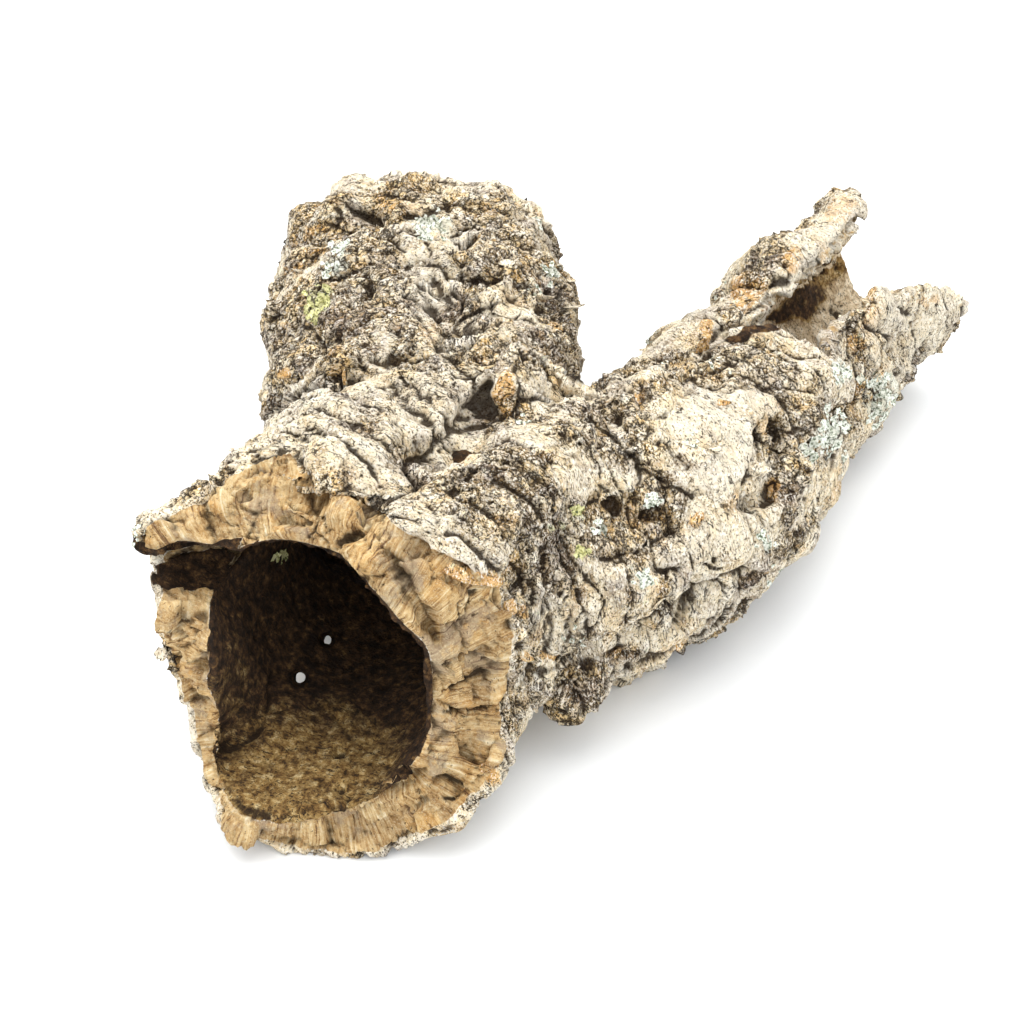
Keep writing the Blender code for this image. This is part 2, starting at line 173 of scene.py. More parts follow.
# Where the hollow's side of the mouth moves against the bark's, so that the wall is thick or thin.
MOUTH_SWELLS = [
    Swell(-85, -170, 75, 34, 11, 0, 0),
    Swell(-78, -165, 106, 22, 8, 0, 0),
    Swell(18, -185, 70, 30, 6, 0, 0),
    Swell(-34, -180, 18, 34, 0, 0, 5),
    Swell(-68, -182, 32, 26, -11, 0, -5),
]
WALL = 22.0  # mm, how thick the wall is at the mouth

# A pocket in two parts under the flare at the mouth's upper left, open to the hollow.
POCKETS = [
    [Ring(-84, -185, 107, 23, 11, 2.4), Ring(-80, -145, 104, 21, 10, 2.4), Ring(-70, -108, 98, 10, 6, 2.0)],
    [Ring(-70, -185, 113, 17, 9, 2.2), Ring(-68, -145, 110, 17, 9, 2.2), Ring(-62, -112, 102, 10, 7, 2.0)],
]

# Small holes eaten through the wall: where each goes in and comes out, and how wide it is.
Pinhole = namedtuple("Pinhole", "start end across")
PINHOLES = [
    Pinhole((-62, -90, 32), (-72, -70, 12), 6.4),
    Pinhole((-63, -121, 33), (-71, -105, 17), 6.4),
]
PINHOLE_SIDES = 10

# Grooves (down) and ridges (up) that the solids have too: how high, how wide, then where they run.
Stroke = namedtuple("Stroke", "height width points")
VALLEY = [
    (-44, -132, 140), (-28, -112, 148), (-20, -92, 149), (-11, -72, 148), (4, -40, 145), (30, 12, 136),
    (30, 45, 125),
]
STROKES = [
    Stroke(-13, 17, VALLEY),
    Stroke(-8, 9, [(-11, -72, 148), (-6, -45, 146), (-7, -14, 144)]),
    Stroke(-7, 8, [(-66, -92, 143), (-54, -112, 146), (-46, -128, 144)]),
    Stroke(-6, 9, [(-53, -24, 142), (-30, -45, 147), (-17, -62, 148)]),
    Stroke(7, 14, [(8, -37, 146), (6, -12, 144), (2, 12, 142)]),
    Stroke(-6, 9, [(-71, 73, 137), (-55, 48, 139), (-42, 33, 139), (-32, 60, 134), (-24, 90, 126)]),
    Stroke(-6, 9, [(-140, 118, 127), (-128, 135, 131), (-114, 120, 133), (-100, 136, 133), (-84, 122, 133)]),
    Stroke(6, 12, [(-144, 138, 126), (-126, 152, 131), (-108, 150, 132), (-88, 146, 132)]),
    Stroke(-8, 14, [(-69, 129, 133), (-60, 140, 130)]),
    Stroke(-9, 14, [(-98, -26, 122), (-110, -34, 112), (-118, -33, 90), (-120, -32, 60)]),
    Stroke(6, 26, [(72, -25, 122), (92, 12, 122), (114, 50, 116)]),
    Stroke(-8, 10, [(124, 10, 96), (128, 30, 98), (122, 44, 104)]),
    Stroke(-7, 9, [(64, -56, 116), (78, -42, 114), (92, -36, 108)]),
    Stroke(-7, 9, [(38, -104, 118), (47, -112, 98), (48, -112, 70), (46, -108, 40)]),
    Stroke(5, 10, [(46, -96, 116), (58, -98, 92), (58, -94, 56)]),
    Stroke(-7, 10, [(58, -96, 52), (82, -78, 56), (104, -50, 56), (122, -22, 52)]),
    Stroke(6, 14, [(60, -98, 26), (88, -76, 28), (112, -46, 28), (134, -8, 28)]),
    Stroke(-6, 9, [(62, 66, 124), (72, 82, 124), (88, 100, 122)]),
    Stroke(-8, 12, [(20, -128, 62), (36, -128, 66), (48, -120, 66)]),
]
Knob = namedtuple("Knob", "x y z radius height")
KNOBS = [
    Knob(-158, 92, 84, 9, 8),
    Knob(-20, 62, 110, 14, 6),
    Knob(-80, -60, 138, 30, 5),
    Knob(-92, 24, 126, 22, 4),
    Knob(-60, 100, 136, 26, 5),
    Knob(60, 30, 126, 24, 5),
    Knob(36, 110, 104, 24, 6),
    Knob(30, -70, 134, 22, 6),
    Knob(110, 130, 96, 22, -5),
    Knob(-158, 110, 40, 24, 6),
    Knob(40, 130, 30, 22, 5),
    Knob(-20, 110, 50, 22, -5),
]
# Folds across a limb, in mm: how far apart, how high, how far they wander and how they come and go.
FOLD_SPACING = 27
FOLD_HEIGHT = 4.5
FOLD_WANDER = 55
FOLD_PATCHES = 60
FOLD_CREST = 0.75  # of the spacing, where a fold is highest and starts to fall
FOLD_FOOT = 0.4  # of its height, how deep the bark lies between two folds

# Lumps of the outer and the inner face: how far across and how high, in mm.
LUMPS = [(46, 7.0), (21, 3.6)]
INNER_LUMPS = [(60, 4.0), (26, 1.6)]

# A point counts as outer face from here to here, as a share of the way out from the middle of its tube,
# and it belongs to a tube up to so many mm past the ends.
OUTER_FACE = (0.84, 0.94)
TUBE_ENDS = 90
TUBE_BLEND = 40.0  # how sharply a point changes from one tube to the next at the fork
SEAM_ROUNDS = 60  # rounds of smoothing along the lines where the tubes meet

RING_SIDES = 96
STEP = 5.0  # mm between two rings
SOFTEN = 8  # rounds of smoothing on the joined tubes

# The split at the fork, seen from above: the crotch, and where each split runs out.
CROTCH = (26, 62)
SPLIT_LEFT = (-260, -8)
SPLIT_RIGHT = (250, -84)
SPLIT_AHEAD = (40, 420)

# The camera: turned this far to the right of the trunk's line, this far above the floor, and this far away.
AZIMUTH = 20.0
ELEVATION = 38.0
ANGLE_OF_VIEW = 27.0
DISTANCE = 1060.0
LOOKS_AT = np.array([0.0, 0.0, 60.0])
PICTURE = 1024


def camera_axes():
    """Where the camera stands, in the bark's own mm, and its directions back, right and up."""
    a, e = math.radians(AZIMUTH), math.radians(ELEVATION)
    back = np.array([math.sin(a) * math.cos(e), -math.cos(a) * math.cos(e), math.sin(e)])
    right = np.array([math.cos(a), math.sin(a), 0.0])
    return LOOKS_AT + back * DISTANCE, back, right, np.cross(back, right)


def sight_line(x, y):
    """The camera's place and the direction in which it sees a pixel of the picture."""
    eye, back, right, up = camera_axes()
    focal = PICTURE / 2 / math.tan(math.radians(ANGLE_OF_VIEW / 2))
    way = -back + right * ((x - PICTURE / 2) / focal) + up * ((PICTURE / 2 - y) / focal)
    return eye, way / np.linalg.norm(way)


def linear(code):
    """A colour from its sRGB hex code."""
    values = [int(code[k : k + 2], 16) / 255 for k in (1, 3, 5)]
    values = [v / 12.92 if v <= 0.04045 else ((v + 0.055) / 1.055) ** 2.4 for v in values]
    return (*values, 1.0)


def ramp(low, high, value):
    """A soft step: 0 up to low, 1 from high on."""
    t = np.clip((value - low) / (high - low), 0, 1)
    return t * t * (3 - 2 * t)


# Shape of the tubes


def smooth_blend(a, b, c, d, t):
    """The Catmull-Rom curve between b and c."""
    return 0.5 * (2 * b + (c - a) * t + (2 * a - 5 * b + 4 * c - d) * t * t + (3 * b - a - 3 * c + d) * t**3)


class Route:
    """A tube's middle line, with the size and the frame of the ring at each place along it."""

    FINE = 16  # steps between two stations
    SLOPE = 6.0  # mm each way over which the direction is measured

    def __init__(self, stations):
        last = len(stations) - 1
        rows = []
        for i in range(last):
            near = [stations[min(max(k, 0), last)] for k in (i - 1, i, i + 1, i + 2)]
            for step in range(self.FINE):
                rows.append([smooth_blend(*values, step / self.FINE) for values in zip(*near)])
        rows.append(list(stations[-1]))
        self.rows = np.array(rows, float)
        steps = np.linalg.norm(np.diff(self.rows[:, :3], axis=0), axis=1)
        self.along = np.concatenate([[0.0], np.cumsum(steps)])
        self.length = float(self.along[-1])

    def at(self, s):
        """Middle, along, side and top directions, half width, half height and squareness at s mm."""
        inside = min(max(s, 0.0), self.length)
        row = np.array([np.interp(inside, self.along, column) for column in self.rows.T])
        low, high = max(inside - self.SLOPE, 0.0), min(inside + self.SLOPE, self.length)
        ends = [Vector([np.interp(x, self.along, column) for column in self.rows.T[:3]]) for x in (low, high)]
        along = (ends[1] - ends[0]).normalized()
        side = along.cross(Vector((0, 0, 1))).normalized()
        top = side.cross(along)
        return Vector(row[:3]) + along * (s - inside), along, side, top, row[3], row[4], row[5]


def round_curve(by_angle, angle):
    """A smooth closed curve through the values given at a few angles, in degrees."""
    angles = sorted(by_angle)
    values = [by_angle[a] for a in angles]
    n = len(angles)
    angle %= 360
    i = max((k for k in range(n) if angles[k] <= angle), default=n - 1)
    start, end = angles[i], angles[(i + 1) % n]
    span = (end - start) % 360 or 360
    t = ((angle - start) % 360) / span
    return smooth_blend(values[i - 1], values[i], values[(i + 1) % n], values[(i + 2) % n], t)


def ring_point(route, s, angle, grow=1.0):
    """The point at that angle of the ring s mm along the route."""
    middle, _, side, top, wide, tall, square = route.at(s)
    a = math.radians(angle)
    c, d = math.cos(a), math.sin(a)
    stretch = (abs(c) ** square + abs(d) ** square) ** (-1 / square) * grow
    return middle + side * (c * stretch * wide) + top * (d * stretch * tall)


def new_object(name, bm):
    bmesh.ops.recalc_face_normals(bm, faces=bm.faces)
    mesh = bpy.data.meshes.new(name)
    bm.to_mesh(mesh)
    bm.free()
    obj = bpy.data.objects.new(name, mesh)
    bpy.context.scene.collection.objects.link(obj)
    return obj


def loft(name, loops, near_crown=Vector(), far_crown=Vector()):
    """A closed body through loops of points in mm, whose ends are fans that stand out by the crowns."""
    bm = bmesh.new()
    rings = [[bm.verts.new(Vector(p) * MM) for p in loop] for loop in loops]
    n = len(rings[0])
    for near, far in zip(rings, rings[1:]):
        for k in range(n):
            bm.faces.new((near[k], near[(k + 1) % n], far[(k + 1) % n], far[k]))
    for ring, order, crown in ((rings[0], -1, near_crown), (rings[-1], 1, far_crown)):
        middle = bm.verts.new(sum((vert.co for vert in ring), Vector()) / n + crown * MM)
        for k in range(n):
            bm.faces.new((ring[k], ring[(k + 1) % n], middle)[::order])
    return new_object(name, bm)


def tube(name, stations, near_end, far_end, near_crown=0, far_crown=0):
    """A closed tube through the stations, whose ends reach as far as near_end and far_end say."""
    route = Route(stations)
    steps = max(2, round(route.length / STEP))
    angles = [360 * k / RING_SIDES for k in range(RING_SIDES)]
    starts = [-near_end(a) for a in angles]
    ends = [route.length + far_end(a) for a in angles]
    loops = []
    for i in range(steps + 1):
        u = i / steps
        loops.append([ring_point(route, s0 + (s1 - s0) * u, a) for a, s0, s1 in zip(angles, starts, ends)])
    return loft(name, loops, -near_crown * route.at(0)[1], far_crown * route.at(route.length)[1])


def level(amount):
    """An end that reaches equally far all round."""
    return lambda angle: amount


def torn(by_angle):
    """An end that reaches as far as the values given at a few angles."""
    return lambda angle: round_curve(by_angle, angle)


def apply_modifiers(obj):
    graph = bpy.context.evaluated_depsgraph_get()
    mesh = bpy.data.meshes.new_from_object(obj.evaluated_get(graph))
    obj.modifiers.clear()
    obj.data = mesh


def join(obj, other, operation):
    """Applies a Boolean and drops the tool."""
    modifier = obj.modifiers.new(operation, "BOOLEAN")
    modifier.operation = operation
    modifier.object = other
    apply_modifiers(obj)
    bpy.data.objects.remove(other)


def break_cutter():
    """A wedge along the right limb that takes out the top between the two lips."""
    route = Route(OUTER["right_limb"])
    loops = []
    for past, left, right in BREAK:
        s = route.length + past
        arc = [right + (left - right) * k / BREAK_STEPS for k in range(BREAK_STEPS + 1)]
        outer = [ring_point(route, s, a, BREAK_DEPTH[1]) for a in arc]
        inner = [ring_point(route, s, a, BREAK_DEPTH[0]) for a in reversed(arc)]
        loops.append(outer + inner)
    return loft("break_cutter", loops)


def pinhole_cutter(start, end, across):
    """A round rod that reaches its own width past the start and the end."""
    way = (Vector(end) - Vector(start)).normalized()
    side = way.orthogonal().normalized() * (across / 2)
    other = way.cross(side)
    turns = [2 * math.pi * k / PINHOLE_SIDES for k in range(PINHOLE_SIDES)]
    ends = (Vector(start) - way * across, Vector(end) + way * across)
    loops = [[middle + side * math.cos(t) + other * math.sin(t) for t in turns] for middle in ends]
    return loft("pinhole_cutter", loops)


def plain_shell(voxel):
    """The three tubes joined, hollowed and broken open, before the bark's relief."""
    shell = tube("bark", OUTER["trunk"], torn(MOUTH), level(0), CROWN["trunk"])
    for limb, edge in FAR_END.items():
        join(shell, tube(limb, OUTER[limb], level(0), torn(edge), 0, CROWN[limb]), "UNION")
    join(shell, tube("hollow", HOLLOW["trunk"], level(OVERRUN), level(0)), "DIFFERENCE")
    for limb in FAR_END:
        join(shell, tube("hollow", HOLLOW[limb], level(0), level(OVERRUN)), "DIFFERENCE")
    join(shell, break_cutter(), "DIFFERENCE")
    for stations in POCKETS:
        join(shell, tube("pocket", stations, level(0), level(0)), "DIFFERENCE")
    for hole in PINHOLES:
        join(shell, pinhole_cutter(*hole), "DIFFERENCE")
    remesh = shell.modifiers.new("even", "REMESH")
    remesh.mode = "VOXEL"
    remesh.voxel_size = voxel * MM
    soften = shell.modifiers.new("soften", "SMOOTH")
    soften.iterations = SOFTEN
    apply_modifiers(shell)
    return shell


def points_of(mesh):
    points = np.empty(len(mesh.vertices) * 3)
    mesh.vertices.foreach_get("co", points)
    return points.reshape(-1, 3) / MM


def normals_of(mesh):
    normals = np.empty(len(mesh.vertices) * 3)
    mesh.vertices.foreach_get("normal", normals)
    return normals.reshape(-1, 3)


def move_to(mesh, points):
    mesh.vertices.foreach_set("co", (points * MM).ravel())
    mesh.update()


def swell(points, swells):
    """The points, moved wherever the wall swells or leans."""
    moved = points.copy()
    for place in swells:
        away = np.linalg.norm(points - [place.x, place.y, place.z], axis=1) / place.radius
        moved += np.exp(-(away**2))[:, None] * [place.dx, place.dy, place.dz]
    return moved


def lumpy(points, across, seed):
    """Smooth noise, about -1 to 1, with lumps that many mm across, as the solids have them."""
    shift = Vector((seed * 31.7, seed * -17.3, seed * 9.1))
    return np.array([noise.noise(Vector(p) / across + shift) for p in points]) * 1.6


# Where points lie on a tube: how far along it, how far out (1 on its face), how far past its ends, and the
# way out from its middle.
Place = namedtuple("Place", "along out beyond outward")
TUBE_STEPS = 60
POINTS_AT_ONCE = 20000


def along_tube(stations, points):
    """Where the points lie on the tube through the stations."""
    route = Route(stations)
    places = np.linspace(0, route.length, TUBE_STEPS)
    frames = [route.at(s) for s in places]
    middles = np.array([f[0] for f in frames])
    ways = [np.array([f[k] for f in frames]) for k in (1, 2, 3)]
    sizes = [np.array([f[k] for f in frames]) for k in (4, 5, 6)]
    results = []
    for chunk in np.array_split(points, max(1, len(points) // POINTS_AT_ONCE)):
        nearest = np.argmin(((chunk[:, None, :] - middles[None]) ** 2).sum(2), axis=1)
        away = chunk - middles[nearest]
        past, across, up = [(away * way[nearest]).sum(1) for way in ways]
        wide, tall, square = [size[nearest] for size in sizes]
        out = (np.abs(across / wide) ** square + np.abs(up / tall) ** square) ** (1 / square)
        beyond = np.where((nearest == 0) | (nearest == len(places) - 1), np.abs(past), 0)
        outward = ways[1][nearest] * (across / wide**2)[:, None] + ways[2][nearest] * (up / tall**2)[:, None]
        outward /= np.linalg.norm(outward, axis=1)[:, None] + 1e-9
        results.append((places[nearest] + past, out, beyond, outward))
    return Place(*[np.concatenate(part) for part in zip(*results)])


def from_line(points, line):
    """The distance of each point from a line through several points."""
    line = np.array(line, float)
    best = np.full(len(points), np.inf)
    for a, b in zip(line, line[1:]):
        way = b - a
        t = np.clip(((points - a) @ way) / (way @ way), 0, 1)
        best = np.minimum(best, np.linalg.norm(points - (a + t[:, None] * way), axis=1))
    return best


def levels_of(tubes):
    """How far out each point lies in each tube, 1 on its face, and far out where it is well past an end."""
    return np.array([np.where(place.beyond > TUBE_ENDS, FAR_OUT, place.out) for place in tubes])


# How far past its near and its far end a tube still counts, in mm: far past an open end, hardly where the
# tubes meet.
OPEN_ENDS = {"trunk": (90, 6), "left_limb": (6, 90), "right_limb": (6, 90)}
NEAR_END = 15.0  # mm along a limb that count as its near end
FAR_OUT = 9.0  # the level of a point that a tube doesn't reach


def own_levels(tubes):
    """How far out each point lies in each tube, and far out of a tube that doesn't reach it."""
    reach = [np.where(place.along < 0, near, far) for place, (near, far) in zip(tubes, OPEN_ENDS.values())]
    return np.array([np.where(place.beyond > past, FAR_OUT, place.out) for place, past in zip(tubes, reach)])


def shares_of(levels):
    """How much each point belongs to each tube: all to the nearest, with a soft change between two."""
    near = np.exp(-TUBE_BLEND * (levels - levels.min(0)))
    return near / near.sum(0)


def relief(points, tubes):
    """How far each point of the plain shell rises along its normal, in mm, as in the solids."""
    levels = levels_of(tubes)
    outer = ramp(*OUTER_FACE, levels.min(0))
    rise = np.zeros(len(points))
    for seed, (across, high) in enumerate(LUMPS):
        rise += outer * high * lumpy(points, across, seed + 1)
    for seed, (across, high) in enumerate(INNER_LUMPS):
        rise += (1 - outer) * high * lumpy(points, across, seed + 11)
    wander = lumpy(points, FOLD_WANDER, 21)
    strength = ramp(-0.7, 0.8, lumpy(points, FOLD_PATCHES, 22))
    for place, share in zip(tubes, shares_of(levels)):
        turn = (place.along / FOLD_SPACING + wander) % 1.0
        fold = ramp(0, FOLD_CREST, turn) * (1 - ramp(FOLD_CREST, 1, turn)) - FOLD_FOOT
        rise += share * outer * FOLD_HEIGHT * strength * fold
    for stroke in STROKES:
        away = from_line(points, stroke.points) / stroke.width
        rise += outer * stroke.height * np.exp(-(away**2))
    for knob in KNOBS:
        away = np.linalg.norm(points - [knob.x, knob.y, knob.z], axis=1) / knob.radius
        rise += outer * knob.height * np.exp(-(away**2))
    return rise


# Fine noise on many points at once

DICE = np.random.default_rng(11)
SHUFFLE = DICE.permutation(256)
SLOPES = DICE.normal(size=(256, 3))
SLOPES /= np.linalg.norm(SLOPES, axis=1)[:, None]
SPOTS = DICE.random((256, 3))


def dealt(boxes):
    """A number from 0 to 255 for each box of space, always the same for the same box."""
    x, y, z = (boxes & 255).T
    return SHUFFLE[(SHUFFLE[(SHUFFLE[x] + y) & 255] + z) & 255]


def grain(points, across, seed):
    """Smooth noise, about -1 to 1, with lumps that many mm across (one number, or one for each direction)."""
    q = points / across + seed * 13.37
    base = np.floor(q).astype(np.int64)
    f = q - base
    u = f * f * f * (f * (f * 6 - 15) + 10)
    total = np.zeros(len(points))
    for corner in itertools.product((0, 1), repeat=3):
        slope = SLOPES[dealt(base + corner)]
        share = np.prod(np.where(corner, u, 1 - u), axis=1)
        total += share * (slope * (f - corner)).sum(1)
    return total * 1.7


def layered(points, across, seed, layers=3):
    """Noise on top of noise, each layer half as wide and half as high as the one before."""
    total = np.zeros(len(points))
    for k in range(layers):
        total += grain(points, across / 2**k, seed + k) / 2**k
    return total


def cells(points, across, seed):
    """For spots scattered that far apart: the way to the nearest, how much further the next is, a number."""
    q = points / across + seed * 5.71
    base = np.floor(q).astype(np.int64)
    first = np.full(len(points), 9.0)
    second = np.full(len(points), 9.0)
    number = np.zeros(len(points), np.int64)
    way = np.zeros((len(points), 3))
    for step in itertools.product((-1, 0, 1), repeat=3):
        cell = base + step
        dealt_number = dealt(cell)
        to_spot = cell + SPOTS[dealt_number] - q
        away = np.sqrt((to_spot**2).sum(1))
        closer = away < first
        second = np.where(closer, first, np.minimum(second, away))
        number[closer] = dealt_number[closer]
        way[closer] = to_spot[closer]
        first = np.where(closer, away, first)
    return way, second - first, number


def shingles(points, across, seed, crack):
    """Plates at their own heights and slants, about -1 to 1, and how open the crack between them is."""
    way, gap, number = cells(points, across, seed)
    height = (number % 16) / 7.5 - 1 + 1.6 * (way * SLOPES[number]).sum(1)
    return height * ramp(0, crack, gap), 1 - ramp(0, crack, gap)


# What the photograph shows, by pixels of the picture. Depths, heights and widths are in mm of bark.

Crack = namedtuple("Crack", "depth width line")
CRACKS = [
    # the torn mouth
    Crack(4, 2.2, [(337, 546), (345, 538), (353, 529)]),
    Crack(1.2, 1.2, [(246, 538), (252, 515), (257, 498)]),
    Crack(1.2, 1.2, [(308, 540), (315, 524), (322, 510)]),
    Crack(1.0, 1.2, [(209, 530), (209, 505)]),
    Crack(3, 1.6, [(300, 464), (314, 487), (322, 521), (327, 529)]),
    Crack(2, 1.0, [(475, 591), (467, 605)]),
    Crack(2, 1.0, [(457, 601), (455, 627)]),
    Crack(5, 2.2, [(456, 691), (478, 680), (492, 677)]),
    Crack(3, 1.4, [(436, 781), (447, 779), (458, 781)]),
    Crack(3, 1.4, [(444, 800), (456, 795)]),
    Crack(2, 1.2, [(180, 624), (196, 628), (211, 629)]),
    Crack(2, 1.0, [(284, 842), (290, 848), (296, 857)]),
    Crack(2, 1.0, [(332, 831), (333, 851)]),
    Crack(3, 1.6, [(443, 711), (472, 713), (495, 705)]),
    # inside the mouth
    Crack(3.5, 1.8, [(276, 669), (273, 697), (262, 727), (242, 747), (220, 750)]),
    Crack(2, 1.3, [(214, 733), (242, 727), (256, 716)]),
    # between the two limbs
    Crack(2.5, 1.2, [(337, 482), (359, 503), (367, 523)]),
    Crack(4, 2.4, [
        (345, 545), (385, 500), (415, 470), (440, 445), (470, 425), (520, 400), (560, 395), (597, 382),
    ]),
    Crack(6, 2.8, [(413, 450), (422, 474), (414, 482)]),
    Crack(3, 1.6, [(367, 387), (396, 399), (414, 407), (431, 425), (441, 442)]),
    Crack(3, 1.5, [(402, 378), (431, 397), (447, 413), (459, 425)]),
    Crack(2.5, 1.3, [(394, 390), (422, 410), (434, 422), (440, 440)]),
    Crack(2.2, 1.2, [(350, 400), (380, 412), (404, 428), (418, 446)]),
    Crack(3.5, 1.6, [(485, 380), (486, 396), (473, 414)]),
    Crack(3, 1.4, [(516, 372), (524, 407), (516, 421)]),
    Crack(2.5, 1.3, [(441, 454), (459, 448), (473, 452), (480, 462), (469, 474)]),
    # the folds beside the mouth
    Crack(4.5, 1.9, [(520, 580), (517, 590), (516, 601)]),
    Crack(4, 1.7, [(531, 576), (535, 590), (537, 603)]),
    Crack(3, 1.8, [(555, 584), (557, 615), (553, 635), (545, 654)]),
    Crack(2.5, 1.6, [(565, 595), (569, 615), (571, 642)]),
    Crack(2, 1.6, [(542, 560), (546, 590), (545, 620)]),
    Crack(2.5, 1.6, [(579, 590), (584, 612), (588, 634)]),
    # the right limb
    Crack(6, 2.4, [(638, 625), (654, 615), (683, 600), (701, 596), (715, 590)]),
    Crack(5, 2.4, [(699, 611), (713, 590), (724, 582), (746, 570)]),
    Crack(2.5, 1.5, [(662, 570), (699, 564), (724, 568)]),
    Crack(2, 2.6, [(540, 670), (585, 662), (622, 650)]),
    Crack(4, 2.6, [(607, 684), (683, 651), (715, 627), (732, 613), (752, 600)]),
    Crack(3, 1.6, [(600, 560), (640, 548), (676, 530)]),
    Crack(3, 1.6, [(640, 470), (668, 480), (690, 500)]),
    Crack(4, 2.0, [(868, 322), (895, 340), (900, 375)]),
    Crack(3, 1.6, [(905, 305), (915, 330), (918, 362)]),
    Crack(3, 1.4, [(770, 340), (790, 352), (800, 372)]),
    # the left limb
    Crack(5, 2.4, [(379, 225), (393, 238), (407, 247)]),
    Crack(4, 2.0, [(347, 206), (362, 209), (374, 219), (381, 230)]),
    Crack(4.5, 2.2, [(412, 214), (424, 212), (436, 205), (449, 206)]),
    Crack(3, 1.3, [(486, 253), (505, 264)]),
    Crack(3, 1.3, [(468, 277), (490, 271)]),
    Crack(6, 2.5, [(431, 277), (444, 288), (455, 307), (460, 316)]),
    Crack(5, 2.2, [(460, 323), (477, 307), (499, 299), (520, 290)]),
    Crack(4, 1.9, [(418, 285), (432, 300), (446, 322), (456, 336)]),
    Crack(3.5, 1.8, [(466, 334), (490, 317), (522, 305)]),
    Crack(3, 1.6, [(406, 300), (422, 318), (438, 342)]),
    Crack(4.5, 2.0, [(336, 373), (356, 362), (381, 353), (410, 349)]),
    Crack(5, 2.6, [(266, 414), (280, 403), (297, 390)]),
    Crack(4, 2.0, [(548, 290), (556, 302), (564, 316)]),
    Crack(3, 1.6, [(300, 320), (318, 336), (322, 356)]),
    Crack(4, 1.6, [(404, 264), (423, 261), (444, 268), (458, 285), (463, 306)]),
    Crack(3.5, 1.4, [(409, 278), (430, 282), (444, 299), (454, 327)]),
    Crack(3.5, 1.4, [(406, 288), (423, 299), (441, 313), (451, 330)]),
    Crack(7, 2.8, [(468, 226), (461, 257), (465, 299), (454, 334)]),
    Crack(4, 1.8, [(468, 275), (503, 268), (531, 285), (562, 316)]),
    Crack(4.5, 2.0, [(454, 341), (482, 316), (510, 309), (540, 318)]),
    Crack(5, 2.2, [(297, 392), (329, 382), (372, 366), (399, 354), (454, 344)]),
    Crack(3, 1.5, [(318, 410), (352, 418), (384, 436), (400, 462)]),
    Crack(3, 1.5, [(300, 428), (338, 436), (366, 456), (380, 480)]),
    Crack(4, 1.8, [(452, 360), (470, 372), (476, 392), (466, 418)]),
    Crack(3, 1.5, [(520, 350), (545, 362), (562, 384)]),
    Crack(4, 2.0, [(590, 420), (622, 440), (640, 470), (636, 500)]),
    Crack(3, 1.5, [(660, 360), (692, 372), (720, 372), (752, 352)]),
]

# Hollows (down) and raised plates (up) with their outlines, and how soft their edge is, in pixels.
Dent = namedtuple("Dent", "rise edge outline")


def oval(x, y, across, down=None, tilt=0.0):
    """The outline of an oval in the picture."""
    down = across if down is None else down
    turns = [2 * math.pi * k / 12 for k in range(12)]
    flat = [(across * math.cos(t), down * math.sin(t)) for t in turns]
    c, s = math.cos(math.radians(tilt)), math.sin(math.radians(tilt))
    return [(x + u * c - v * s, y + u * s + v * c) for u, v in flat]


